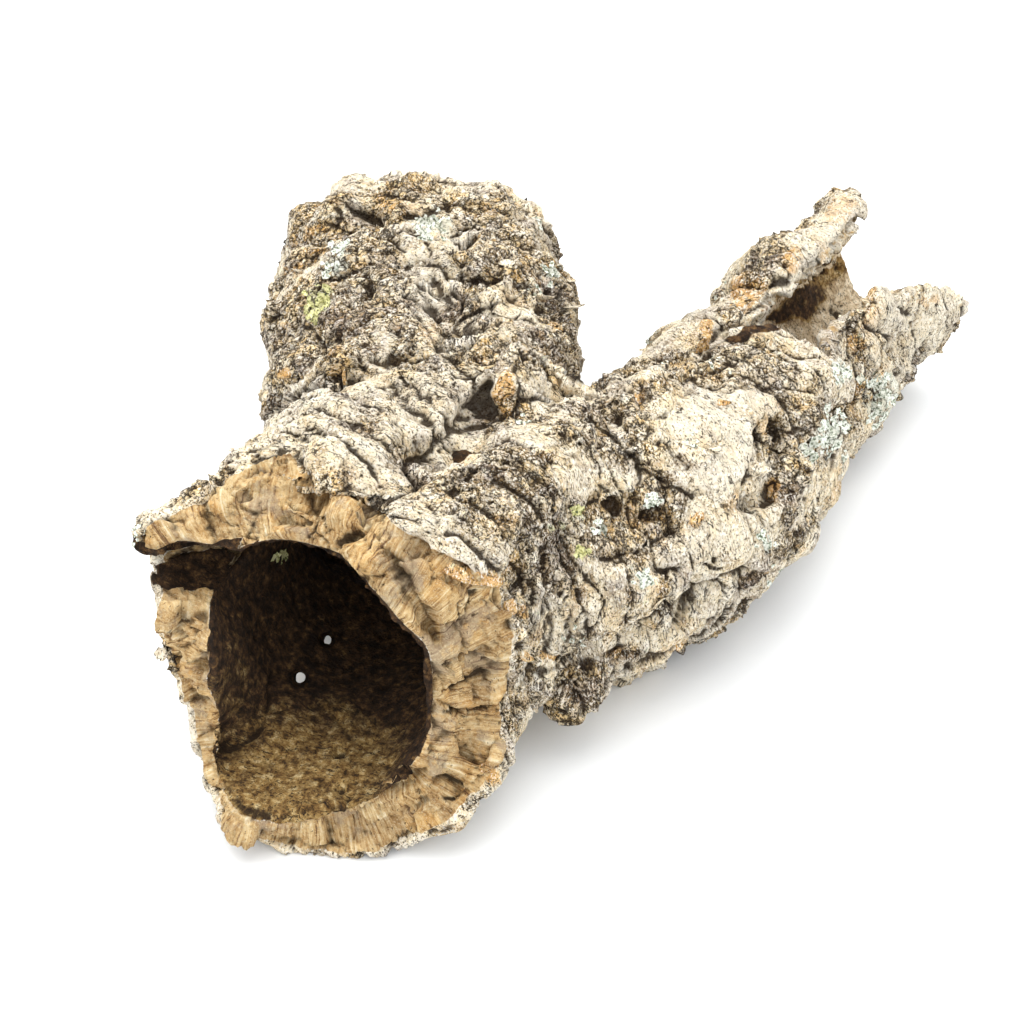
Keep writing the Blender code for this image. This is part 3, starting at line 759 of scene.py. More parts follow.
PLATE = [
    (699, 392), (775, 392), (785, 407), (756, 425), (750, 466), (724, 502), (695, 494), (691, 478),
    (713, 447), (654, 439), (662, 421),
]
TONGUE = [(339, 544), (371, 580), (392, 599), (400, 595), (394, 576), (388, 560), (360, 540)]
FLAP = [(402, 552), (428, 548), (453, 562), (450, 577), (424, 576), (408, 568)]
ORANGE_RIDGE = [(457, 568), (482, 572), (504, 580), (502, 589), (478, 586), (458, 576)]
OCHRE_RIDGE = [(494, 411), (496, 390), (505, 372), (516, 374), (513, 396), (504, 413)]
UNDER_FLARE = [(148, 568), (166, 564), (200, 549), (240, 538), (222, 592), (196, 590), (160, 586)]
DENTS = [
    Dent(-7, 5, [
        (392, 556), (394, 576), (402, 596), (431, 646), (441, 644), (441, 623), (422, 601), (406, 574),
    ]),
    Dent(5, 3, TONGUE),
    Dent(1.5, 3, FLAP),
    Dent(2.0, 3, ORANGE_RIDGE),
    Dent(3.0, 4, OCHRE_RIDGE),
    Dent(2.2, 3, PLATE),
    Dent(-4, 5, oval(378, 506, 8, 15, -15)),
    Dent(-7, 5, oval(483, 397, 8, 16, 8)),
    Dent(-7, 6, oval(768, 433, 14, 13)),
    Dent(2.5, 3, [(783, 435), (797, 437), (795, 450), (786, 448)]),
    Dent(2.5, 3, [(750, 458), (773, 476), (772, 482), (752, 474)]),
    Dent(-6, 5, oval(767, 498, 7, 13, 20)),
    Dent(-4, 5, oval(746, 503, 10, 9)),
    Dent(-5, 4, oval(617, 509, 9, 9)),
    Dent(-5, 4, oval(652, 515, 10, 8)),
    Dent(-4, 3, oval(618, 421, 5)),
    Dent(-7, 5, oval(685, 616, 15, 8, -30)),
    Dent(-5, 5, oval(420, 219, 11, 6, 20)),
    Dent(-5, 5, oval(364, 214, 13, 6, 30)),
    Dent(-4, 5, oval(469, 239, 7, 12)),
    Dent(-7, 5, oval(366, 287, 6, 15, 5)),
    Dent(-6, 5, oval(286, 405, 9, 11, 20)),
    Dent(-6, 4, oval(361, 361, 7, 6)),
    Dent(-5, 4, oval(412, 779, 15, 9, -15)),
    Dent(-3, 4, oval(484, 652, 9, 8)),
    Dent(-6, 4, oval(506, 627, 6)),
    Dent(-6, 4, oval(520, 646, 6)),
    Dent(-4, 3, oval(509, 412, 5)),
    Dent(-4, 3, oval(338, 809, 8, 5)),
    Dent(-6, 3, oval(200, 666, 8)),
    Dent(-4, 3, oval(474, 457, 4)),
    Dent(-4, 4, oval(181, 614, 5, 9)),
    Dent(-6, 4, oval(338, 750, 7, 5)),
    Dent(-6, 4, oval(838, 313, 9, 7)),
    Dent(-6, 4, [(805, 268), (825, 256), (826, 270), (812, 281)]),
    Dent(-5, 4, oval(780, 282, 10, 7, -30)),
    Dent(2.5, 4, oval(708, 330, 8, 10)),
    Dent(6.0, 5, oval(268, 305, 7, 10)),
    Dent(2.5, 4, oval(424, 286, 16, 14, 20)),
]

# Places in the picture where the bark has its own look: which, how strong, how soft the edge in pixels, and
# the outline.
Patch = namedtuple("Patch", "colour strength edge outline")
PATCHES = [
    Patch("bleached", 0.9, 6, PLATE),
    Patch("bleached", 0.8, 5, FLAP),
    Patch("bleached", 0.6, 12, oval(424, 286, 18, 16)),
    Patch("bleached", 0.5, 14, [(150, 560), (165, 530), (205, 508), (215, 540), (180, 560)]),
    Patch("bleached", 0.5, 14, oval(430, 395, 34, 24, 35)),
    Patch("bleached", 0.3, 8, oval(600, 645, 40, 12, -12)),
    Patch("bleached", 0.4, 16, oval(360, 465, 24, 30, -30)),
    Patch("bleached", 0.7, 10, [
        (868, 312), (890, 285), (948, 285), (958, 345), (935, 372), (905, 395), (872, 385),
    ]),
    Patch("bleached", 0.6, 6, TONGUE),
    Patch("bleached", 0.5, 14, [(345, 440), (400, 460), (450, 520), (440, 545), (400, 520), (345, 510)]),
    Patch("bleached", 0.5, 14, [(420, 300), (446, 322), (462, 350), (452, 372), (430, 350), (412, 322)]),
    Patch("bleached", 0.7, 6, oval(762, 468, 14, 8, 30)),
    Patch("ochre", 0.9, 5, ORANGE_RIDGE),
    Patch("ochre", 0.7, 6, OCHRE_RIDGE),
    Patch("ochre", 0.6, 10, oval(185, 646, 14, 12)),
    Patch("ochre", 0.6, 7, oval(296, 272, 7, 7)),
    Patch("ochre", 0.5, 8, oval(312, 235, 20, 8, -20)),
    Patch("ochre", 0.6, 7, oval(469, 239, 9, 13)),
    Patch("ochre", 0.8, 5, oval(693, 519, 7, 6)),
    Patch("ochre", 0.7, 5, oval(638, 396, 6, 5)),
    Patch("ochre", 0.8, 5, oval(773, 492, 6, 9)),
    Patch("ochre", 0.7, 5, oval(681, 645, 8, 5)),
    Patch("ochre", 0.6, 5, oval(618, 653, 9, 5)),
    Patch("ochre", 0.8, 5, oval(522, 610, 6, 6)),
    Patch("ochre", 0.9, 5, oval(489, 772, 7, 8)),
    Patch("ochre", 0.8, 5, oval(546, 658, 8, 5)),
    Patch("ochre", 0.8, 7, oval(412, 779, 14, 8, -15)),
    Patch("ochre", 0.9, 7, oval(792, 262, 10, 10)),
    Patch("ochre", 0.6, 9, oval(748, 292, 24, 14, -35)),
    Patch("ochre", 0.7, 7, oval(925, 298, 14, 6)),
    Patch("ochre", 0.8, 7, oval(872, 312, 8, 14, 20)),
    Patch("ochre", 0.8, 6, oval(856, 343, 9, 8)),
    Patch("ochre", 0.7, 8, oval(840, 210, 18, 12, -30)),
    Patch("ochre", 0.8, 6, oval(707, 330, 8, 10)),
    Patch("ochre", 0.5, 10, oval(310, 495, 10, 34, -15)),
    Patch("ochre", 0.5, 10, oval(236, 826, 24, 12, 30)),
    Patch("mint", 0.9, 6, oval(435, 225, 17, 8, -10)),
    Patch("mint", 0.6, 8, oval(337, 260, 16, 18)),
    Patch("mint", 0.7, 6, oval(832, 435, 14, 12)),
    Patch("mint", 0.7, 6, oval(840, 372, 9, 12)),
    Patch("mint", 0.6, 8, oval(882, 395, 18, 26, 20)),
    Patch("mint", 0.5, 5, oval(805, 447, 8, 7)),
    Patch("mint", 0.6, 5, oval(646, 576, 9, 8)),
    Patch("mint", 0.4, 6, oval(555, 278, 9, 12)),
    Patch("yellow", 0.8, 8, [(312, 322), (310, 300), (322, 283), (334, 290), (330, 312), (318, 326)]),
    Patch("yellow", 0.5, 4, oval(280, 553, 8, 6)),
    Patch("yellow", 0.5, 6, oval(577, 513, 9, 7)),
    Patch("yellow", 0.4, 6, oval(558, 527, 9, 7)),
    Patch("yellow", 0.4, 8, oval(399, 747, 8, 7)),
    Patch("torn", 1.0, 3, [
        (205, 545), (207, 506), (214, 486), (239, 469), (256, 461), (290, 457), (312, 487), (326, 526),
        (336, 548), (300, 545), (240, 547),
    ]),
    Patch("torn", 1.0, 3, TONGUE),
    Patch("torn", 1.0, 3, [
        (427, 589), (467, 587), (492, 593), (496, 617), (504, 625), (504, 646), (496, 656), (475, 678),
        (470, 690), (496, 705), (490, 735), (470, 780), (440, 812), (400, 832), (370, 850), (370, 790),
        (430, 720), (438, 660), (425, 640), (400, 600),
    ]),
    Patch("inner", 1.0, 3, UNDER_FLARE),
    Patch("inner", 0.3, 12, [
        (775, 325), (782, 300), (802, 276), (826, 250), (852, 245), (856, 270), (832, 292), (812, 322),
    ]),
    Patch("inner", 0.7, 6, [(783, 318), (786, 298), (806, 282), (822, 284), (826, 296), (806, 318)]),
    Patch("inner", 0.8, 4, [
        (708, 344), (740, 326), (778, 312), (792, 302), (800, 312), (770, 330), (735, 340),
    ]),
    Patch("bleached", 0.8, 6, [
        (768, 296), (792, 262), (816, 232), (832, 206), (858, 190), (862, 222), (848, 240), (800, 280),
    ]),
    Patch("bleached", 0.6, 8, [(465, 322), (500, 300), (538, 298), (540, 312), (500, 322), (470, 344)]),
    Patch("bleached", 0.5, 10, [
        (364, 368), (420, 372), (478, 400), (454, 418), (400, 412), (335, 422), (320, 410),
    ]),
    Patch("bleached", 0.3, 12, [(525, 590), (545, 585), (590, 600), (600, 640), (560, 660), (535, 640)]),
    Patch("bleached", 0.5, 12, [(700, 505), (750, 520), (745, 545), (700, 560), (660, 556), (680, 525)]),
    Patch("gritty", 1.0, 10, [
        (281, 222), (340, 212), (399, 232), (406, 264), (380, 320), (375, 354), (320, 372), (278, 382),
    ]),
    Patch("gritty", 0.9, 10, [
        (400, 185), (503, 195), (531, 229), (562, 264), (520, 268), (476, 262), (458, 222),
    ]),
    Patch("gritty", 0.9, 10, [
        (464, 350), (524, 330), (570, 318), (582, 354), (574, 388), (520, 368), (480, 372),
    ]),
    Patch("gritty", 1.0, 10, [
        (548, 400), (640, 392), (652, 430), (668, 446), (640, 470), (600, 460), (556, 440),
    ]),
    Patch("gritty", 0.9, 10, [
        (560, 500), (605, 492), (650, 500), (690, 520), (684, 548), (640, 570), (580, 556),
    ]),
    Patch("gritty", 0.8, 10, [
        (690, 345), (740, 332), (790, 340), (800, 380), (790, 400), (740, 388), (700, 380),
    ]),
    Patch("gritty", 0.9, 10, [
        (770, 380), (800, 395), (852, 400), (860, 430), (820, 470), (790, 470), (780, 430),
    ]),
    Patch("gritty", 0.7, 10, [
        (430, 470), (500, 440), (560, 470), (556, 520), (520, 560), (470, 540), (440, 500),
    ]),
    Patch("gritty", 0.9, 5, [
        (508, 592), (540, 590), (545, 640), (540, 700), (520, 735), (500, 735), (503, 700), (510, 660),
    ]),
]
COLOURS = ("bleached", "ochre", "mint", "yellow", "torn", "gritty", "inner")


# Where points fall in the picture


def picture_of(points):
    """Where each point falls in the picture, in pixels, and how far from the camera it is, in mm."""
    eye, back, right, up = camera_axes()
    away = points - eye
    depth = -(away @ back)
    focal = PICTURE / 2 / math.tan(math.radians(ANGLE_OF_VIEW / 2))
    return PICTURE / 2 + focal * (away @ right) / depth, PICTURE / 2 - focal * (away @ up) / depth, depth


SIGHT_CELL = 4  # pixels
SIGHT_DEPTH = 9.0  # mm that a seen point may lie behind the nearest one in its cell


def in_sight(points, normals):
    """Each point's pixel, and whether the camera sees it."""
    x, y, depth = picture_of(points)
    eye = camera_axes()[0]
    front = ((eye - points) * normals).sum(1) > 0
    wide = PICTURE // SIGHT_CELL
    column, row = [np.clip(at // SIGHT_CELL, 0, wide - 1).astype(int) for at in (x, y)]
    cell = row * wide + column
    nearest = np.full(wide * wide, np.inf)
    np.minimum.at(nearest, cell[front], depth[front])
    return np.stack([x, y], 1), front & (depth < nearest[cell] + SIGHT_DEPTH)


def within(pixels, outline):
    """How far each pixel is from the outline, below zero inside it."""
    corners = np.array(outline, float)
    away = from_line(pixels, np.vstack([corners, corners[:1]]))
    inside = np.zeros(len(pixels), bool)
    for (x0, y0), (x1, y1) in zip(corners, np.roll(corners, -1, axis=0)):
        crosses = (y0 > pixels[:, 1]) != (y1 > pixels[:, 1])
        at = x0 + (pixels[:, 1] - y0) * (x1 - x0) / (y1 - y0 + 1e-9)
        inside ^= crosses & (pixels[:, 0] < at)
    return np.where(inside, -away, away)


def near_box(pixels, line, margin):
    """Which pixels lie in the box round the line, or within the margin of it."""
    low, high = np.min(line, axis=0) - margin, np.max(line, axis=0) + margin
    return np.nonzero((pixels > low).all(1) & (pixels < high).all(1))[0]


PIXEL = 0.5  # mm of bark that a pixel spans, about


def marks_in_picture(points, normals):
    """How far the named marks move each point, how dark they make it, and how much of each colour it has."""
    rise = np.zeros(len(points))
    dark = np.zeros(len(points))
    colours = {colour: np.zeros(len(points)) for colour in COLOURS}
    pixels, seen = in_sight(points, normals)
    wobble = np.stack([layered(points, 11.0, 81, 4), layered(points, 11.0, 85, 4)], 1) * 4.5
    fade = np.clip(0.85 + 0.9 * grain(points, 9.0, 89), 0.15, 1.4)
    chosen = np.nonzero(seen)[0]
    pixels = pixels[chosen] + wobble[chosen]
    for crack in CRACKS:
        # A narrow crack at the bottom of a wider fold, deeper in some places than in others.
        wide = crack.width / PIXEL
        spots = near_box(pixels, crack.line, wide * 7)
        away = from_line(pixels[spots], crack.line) / wide
        strength = fade[chosen[spots]]
        rise[chosen[spots]] -= crack.depth * (
            0.6 * strength * np.exp(-((away / 0.6) ** 2)) + 0.7 * np.exp(-((away / 2.6) ** 2))
        )
        dark[chosen[spots]] = np.maximum(dark[chosen[spots]], 0.9 * strength * np.exp(-((away / 0.6) ** 2)))
    for dent in DENTS:
        spots = near_box(pixels, dent.outline, dent.edge * 2)
        inside = ramp(dent.edge, -dent.edge, within(pixels[spots], dent.outline))
        rise[chosen[spots]] += dent.rise * inside
        if dent.rise < 0:
            dark[chosen[spots]] = np.maximum(dark[chosen[spots]], 0.4 * inside)
    for patch in PATCHES:
        spots = near_box(pixels, patch.outline, patch.edge * 2)
        inside = ramp(patch.edge, -patch.edge, within(pixels[spots], patch.outline)) * patch.strength
        amount = colours[patch.colour]
        amount[chosen[spots]] = np.maximum(amount[chosen[spots]], inside)
    return rise, dark, colours


# The bark's surface


def faces_of(mesh):
    quads = np.empty(len(mesh.polygons) * 4, np.int64)
    mesh.polygons.foreach_get("vertices", quads)
    return quads.reshape(-1, 4)


def edges_of(mesh):
    edges = np.empty(len(mesh.edges) * 2, np.int64)
    mesh.edges.foreach_get("vertices", edges)
    return edges.reshape(-1, 2)


def evened(values, edges, rounds):
    """The values, each drawn halfway to the mean of its neighbours, so many times over."""
    a, b = edges.T
    n = len(values)
    links = np.bincount(a, minlength=n) + np.bincount(b, minlength=n)
    for _ in range(rounds):
        total = np.bincount(a, values[b], n) + np.bincount(b, values[a], n)
        values = 0.5 * values + 0.5 * total / links
    return values


# How far out of a tube its faces count as what they are, as shares of the way out: the soft step from lining
# to wall round the hollow and round a pocket, from lining to wall deep inside, and from wall to bark.
LINING_FACE = (1.07, 1.02)
POCKET_FACE = (1.22, 1.08)
POCKET_ROOF = (-0.5, 0.0)  # how far up a pocket's face looks
POCKET_END = 3  # mm
INNER_FACE = (0.92, 0.88)
BARK_FACE = (0.945, 0.975)

# Far from the torn ends, where no rim shows: mm along the trunk and the two limbs.
DEEP = ((70, 90), (190, 170), (60, 30))
STARTS = (0.0, 125.0, 113.0)  # mm along the branch at which the trunk and the limbs start
RIM_RADIUS = 70.0  # mm


def sides_of(plain, tubes):
    """How much of each point is bark and lining, its place in the rim's rings, and its way along."""
    shares = shares_of(levels_of(tubes))
    outward = sum(place.outward * share[:, None] for place, share in zip(tubes, shares))
    outward /= np.linalg.norm(outward, axis=1)[:, None] + 1e-9
    trunk, left, right = tubes
    own = own_levels(tubes)
    # The right limb's near end stands out of the trunk a little, and is bark there.
    own[2] = np.where((right.along < NEAR_END) & (trunk.out > OUTER_FACE[1]), FAR_OUT, own[2])
    bark = own.min(0)
    hollow = own_levels([along_tube(stations, plain) for stations in HOLLOW.values()]).min(0)
    deep = ramp(*DEEP[0], trunk.along) * ramp(*DEEP[1], left.along) * ramp(*DEEP[2], right.along)
    lining = np.maximum(ramp(*LINING_FACE, hollow), deep * ramp(*INNER_FACE, bark))
    for hole in PINHOLES:
        lining = np.maximum(lining, ramp(hole.across * 1.6, hole.across, from_line(plain, hole[:2])))
    for stations in POCKETS:
        pocket = along_tube(stations, plain)
        roof = ramp(*POCKET_ROOF, pocket.outward[:, 2]) * (pocket.beyond < POCKET_END)
        lining = np.maximum(lining, ramp(*POCKET_FACE, pocket.out) * roof)
    outer = np.maximum(ramp(*BARK_FACE, bark) * (1 - lining), deep * (1 - lining))
    from_hollow, from_bark = np.clip(hollow - 1, 0, FAR_OUT), np.clip(1 - bark, 0, FAR_OUT)
    through = from_hollow / (from_hollow + from_bark + 1e-3)
    rings = np.stack([through * WALL, outward[:, 0] * RIM_RADIUS, outward[:, 2] * RIM_RADIUS], 1)
    along = sum((place.along + start) * share for place, start, share in zip(tubes, STARTS, shares))
    return outer, lining, rings, along


# What the fine relief repeats, in mm: along the branch, then across it and up.
CREASES = np.array([16.0, 80.0, 80.0])
WRINKLES = np.array([5.0, 40.0, 40.0])
FINE_WRINKLES = np.array([2.6, 22.0, 22.0])
BARK_PLATES = np.array([8.0, 6.0, 6.5])
LINING_LINES = np.array([34.0, 5.0, 5.0])
RIM_RIBS = np.array([24.0, 2.4, 2.4])

# Pits: how far apart their places are and how deep they go, in mm, and how wide they are, as a share of
# that distance. The bark has one in every fourth place.
Pit = namedtuple("Pit", "apart deep wide")
BARK_PITS = Pit(24.0, 4.5, 0.13)
LINING_PITS = Pit(17.0, 2.5, 0.13)

# Peeled layers: how high each edge is in mm, and how sharp.
PEEL = 1.6
RIM_PEEL = 1.7
PEEL_EDGE = 0.035
RIM_PEEL_EDGE = 0.03


def bark_relief(points, along, calm, rough):
    """Creases, wrinkles, peeled layers, plates and pits, in mm, and how gritty the bark is."""
    warp = np.stack([grain(points, 18.0, seed) for seed in (31, 32, 33)], 1) * 4.5
    bent = points + warp
    flow = np.stack([along + warp[:, 0] * 1.3, points[:, 0], points[:, 2]], 1)
    gritty = ramp(0.0, 0.25, grain(points, 38.0, 45) + 0.35 * grain(points, 13.0, 47))
    gritty = np.maximum(gritty, rough) * (1 - calm)
    # Rounded swells between creases, which are deepest where the noise changes sign.
    creases = grain(flow, CREASES, 41)
    rise = 5.5 * np.sqrt(np.abs(creases) + 0.01) - 1.4 * np.exp(-((creases / 0.05) ** 2)) - 2.2
    wrinkles = grain(flow, WRINKLES, 42)
    rise += (1.0 - 0.6 * gritty) * wrinkles
    rise -= 0.4 * (1 - gritty) * np.exp(-((wrinkles / 0.09) ** 2))
    rise += 0.3 * grain(flow, FINE_WRINKLES, 44)
    layers = layered(bent, 32.0, 51, 4)
    for edge in (-0.28, 0.22):
        rise += PEEL * ramp(edge, edge + PEEL_EDGE, layers)
    rise -= PEEL
    # Plates of two sizes, which hardly show where the bark is smooth.
    plates, cracks = shingles(bent, BARK_PLATES, 3, 0.10)
    rise += (0.05 + 1.0 * gritty) * plates - (0.05 + 1.1 * gritty) * cracks
    plates, cracks = shingles(bent, 4.0, 5, 0.12)
    rise += (0.03 + 0.50 * gritty) * plates - 0.45 * gritty * cracks
    way, _, number = cells(bent, BARK_PITS.apart, 7)
    from_pit = np.linalg.norm(way * [1.0, 2.2, 1.0], axis=1) / BARK_PITS.wide
    rise -= BARK_PITS.deep * (number % 4 == 0) * np.exp(-(from_pit**2))
    return rise * (1 - 0.7 * calm), gritty


def lining_relief(points, along):
    """Lengthwise lines, bumps and pits of the hollow's face, in mm."""
    flow = np.stack([along, points[:, 0], points[:, 2]], 1)
    rise = 0.8 * layered(flow, LINING_LINES, 91, 3) + 0.8 * layered(points, 9.0, 95, 4)
    way = cells(points, LINING_PITS.apart, 9)[0]
    from_pit = np.linalg.norm(way, axis=1) / LINING_PITS.wide
    return rise - LINING_PITS.deep * np.exp(-(from_pit**2))


def rim_relief(points, rings):
    """Broad facets, torn layers, ribs and chips of the torn edge, in mm."""
    bent = points + 3.0 * np.stack([grain(points, 11.0, seed) for seed in (63, 64, 65)], 1)
    plates, cracks = shingles(bent, 19.0, 13, 0.05)
    rise = 3.2 * plates - 1.6 * cracks * ramp(-0.1, 0.2, grain(points, 22.0, 79))
    layers = layered(points, 22.0, 73, 5)
    for edge in (-0.3, 0.0, 0.3):
        rise += RIM_PEEL * ramp(edge, edge + RIM_PEEL_EDGE, layers)
    rise += 0.3 * grain(rings, RIM_RIBS, 77) - 2.6
    chips = shingles(bent, 6.0, 14, 0.08)[0]
    return rise + 0.8 * chips * ramp(0.0, 0.3, grain(points, 13.0, 78))


def bark_surface(mesh_size, relief_share):
    """The dressed surface of the whole branch, as arrays."""
    shell = plain_shell(mesh_size / MM)
    mesh = shell.data
    plain, facing = points_of(mesh), normals_of(mesh)
    edges, quads = edges_of(mesh), faces_of(mesh)
    tubes = [along_tube(stations, plain) for stations in OUTER.values()]
    levels = levels_of(tubes)
    seam = ramp(1.25, 1.05, np.sort(levels, axis=0)[1]) * ramp(0.8, 0.9, levels.min(0))
    eased = np.stack([evened(column, edges, SEAM_ROUNDS) for column in plain.T], 1)
    plain = plain + (eased - plain) * seam[:, None]
    move_to(mesh, plain)
    facing = normals_of(mesh)
    outer, lining, rings, along = sides_of(plain, tubes)
    coarse = plain + facing * relief(plain, tubes)[:, None]
    # The hollow's side of the mouth moves all the way, the bark's side not at all.
    inward = 1 - rings[:, :1] / WALL
    coarse = swell(coarse, SWELLS) + inward * (swell(coarse, MOUTH_SWELLS) - coarse)
    move_to(mesh, coarse)
    normals = normals_of(mesh)
    marks, dark, colours = marks_in_picture(coarse, normals)
    lining = np.maximum(lining, colours["inner"])
    rim = np.clip(1 - outer - lining, 0, 1) * (1 - colours["gritty"])
    rim = np.maximum(rim, colours["torn"] * (1 - lining))
    outer = np.clip(1 - rim - lining, 0, 1)
    fine, gritty = bark_relief(coarse, along, colours["bleached"], colours["gritty"])
    fine *= outer
    fine += lining * lining_relief(coarse, along)
    fine += rim * rim_relief(coarse, rings)
    fine = fine * relief_share + marks
    points = coarse + normals * fine[:, None]
    points[:, 2] = np.maximum(points[:, 2], 0.0)
    move_to(mesh, points)
    normals = normals_of(mesh)
    bpy.data.objects.remove(shell)
    # Crevice: how far the fine relief lies below its surroundings, which the shader paints dark as painted
    # shade.
    near, wide = evened(fine, edges, 6), evened(fine, edges, 40)
    crevice = np.clip(0.55 * (near - fine) + 0.30 * (wide - fine) - 0.1, 0, 1)
    # Crest: how far the fine relief stands above its surroundings, which the shader paints lighter as a
    # painted highlight.
    crest_highlight = np.clip(0.6 * (fine - near) + 0.25 * (fine - wide), 0, 1)
    # The lining is paler on the floor and the left wall near the mouth, where light falls into the hollow,
    # and in the half pipe: partly dust and dried cork, partly painted light.
    dusty = 0.7 * ramp(50, 22, plain[:, 2]) * ramp(75, 15, along)
    wall = 0.4 * ramp(-40, -75, plain[:, 0]) * ramp(80, 10, along) * ramp(100, 70, plain[:, 2])
    half_pipe = ramp(330, 390, along) * (plain[:, 0] > 40)
    dusty = np.maximum(np.maximum(dusty, wall), half_pipe) * (1 - colours["inner"])
    # The limbs' torn edges are old and grey in places, the mouth's is fresh.
    fresh = 0.45 + 0.55 * ramp(140, 100, along)
    fields = {
        # The third value of sides is painted shade in crevices, cracks and hollows, weaker on the rim.
        "sides": np.stack([rim * fresh, lining, np.maximum(crevice * (1 - 0.45 * rim), dark)], 1),
        "tints": np.stack([colours["ochre"], colours["bleached"], crest_highlight], 1),
        "growth": np.stack([colours["mint"], colours["yellow"], dusty], 1),
        "rings": rings,
        "skin": np.stack([gritty * outer] * 3, 1),
        "flow": np.stack([along, points[:, 0], points[:, 2]], 1),
    }
    return points, quads, normals, fields


def piece_of(name, points, quads, normals, fields):
    """One object from some of the surface's faces, with the whole surface's normals and fields."""
    used, renumbered = np.unique(quads, return_inverse=True)
    mesh = bpy.data.meshes.new(name)
    mesh.vertices.add(len(used))
    mesh.loops.add(quads.size)
    mesh.polygons.add(len(quads))
    mesh.vertices.foreach_set("co", ((points[used] + CENTRING) * MM).ravel())
    mesh.loops.foreach_set("vertex_index", renumbered.ravel().astype(np.int32))
    mesh.polygons.foreach_set("loop_start", np.arange(0, quads.size, 4, dtype=np.int32))
    mesh.polygons.foreach_set("use_smooth", np.ones(len(quads), bool))
    mesh.update(calc_edges=True)
    for field, values in fields.items():
        layer = mesh.attributes.new(field, "FLOAT_VECTOR", "POINT")
        layer.data.foreach_set("vector", values[used].ravel())
    mesh.normals_split_custom_set_from_vertices(normals[used])
    obj = bpy.data.objects.new(name, mesh)
    bpy.context.scene.collection.objects.link(obj)
    return obj


def beyond_line(points, start, end):
    """Which points lie to the left of the way from start to end, seen from above."""
    (x0, y0), (x1, y1) = start, end
    return (x1 - x0) * (points[:, 1] - y0) - (y1 - y0) * (points[:, 0] - x0) > 0


# Materials

MULTIPLY = {"operation": "MULTIPLY"}
MULTIPLY_ADD = {"operation": "MULTIPLY_ADD"}
MAXIMUM = {"operation": "MAXIMUM"}
MIX = {"data_type": "RGBA"}
TINT = {"data_type": "RGBA", "blend_type": "MULTIPLY"}


def add(tree, kind, settings=None, inputs=None, output=0):
    """Adds a node with its settings, and its inputs as values or links, and gives its output."""
    made = tree.nodes.new(kind)
    for key, value in (settings or {}).items():
        setattr(made, key, value)
    for key, value in (inputs or {}).items():
        if isinstance(value, bpy.types.NodeSocket):
            tree.links.new(value, made.inputs[key])
        else:
            made.inputs[key].default_value = value
    return made.outputs[output]


def fill(output, stops):
    """Fills the band of colours this output comes from, with pairs of a place and a hex colour."""
    band = output.node.color_ramp
    while len(band.elements) < len(stops):
        band.elements.new(0.5)
    for element, (place, code) in zip(band.elements, stops):
        element.position = place
        element.color = linear(code)


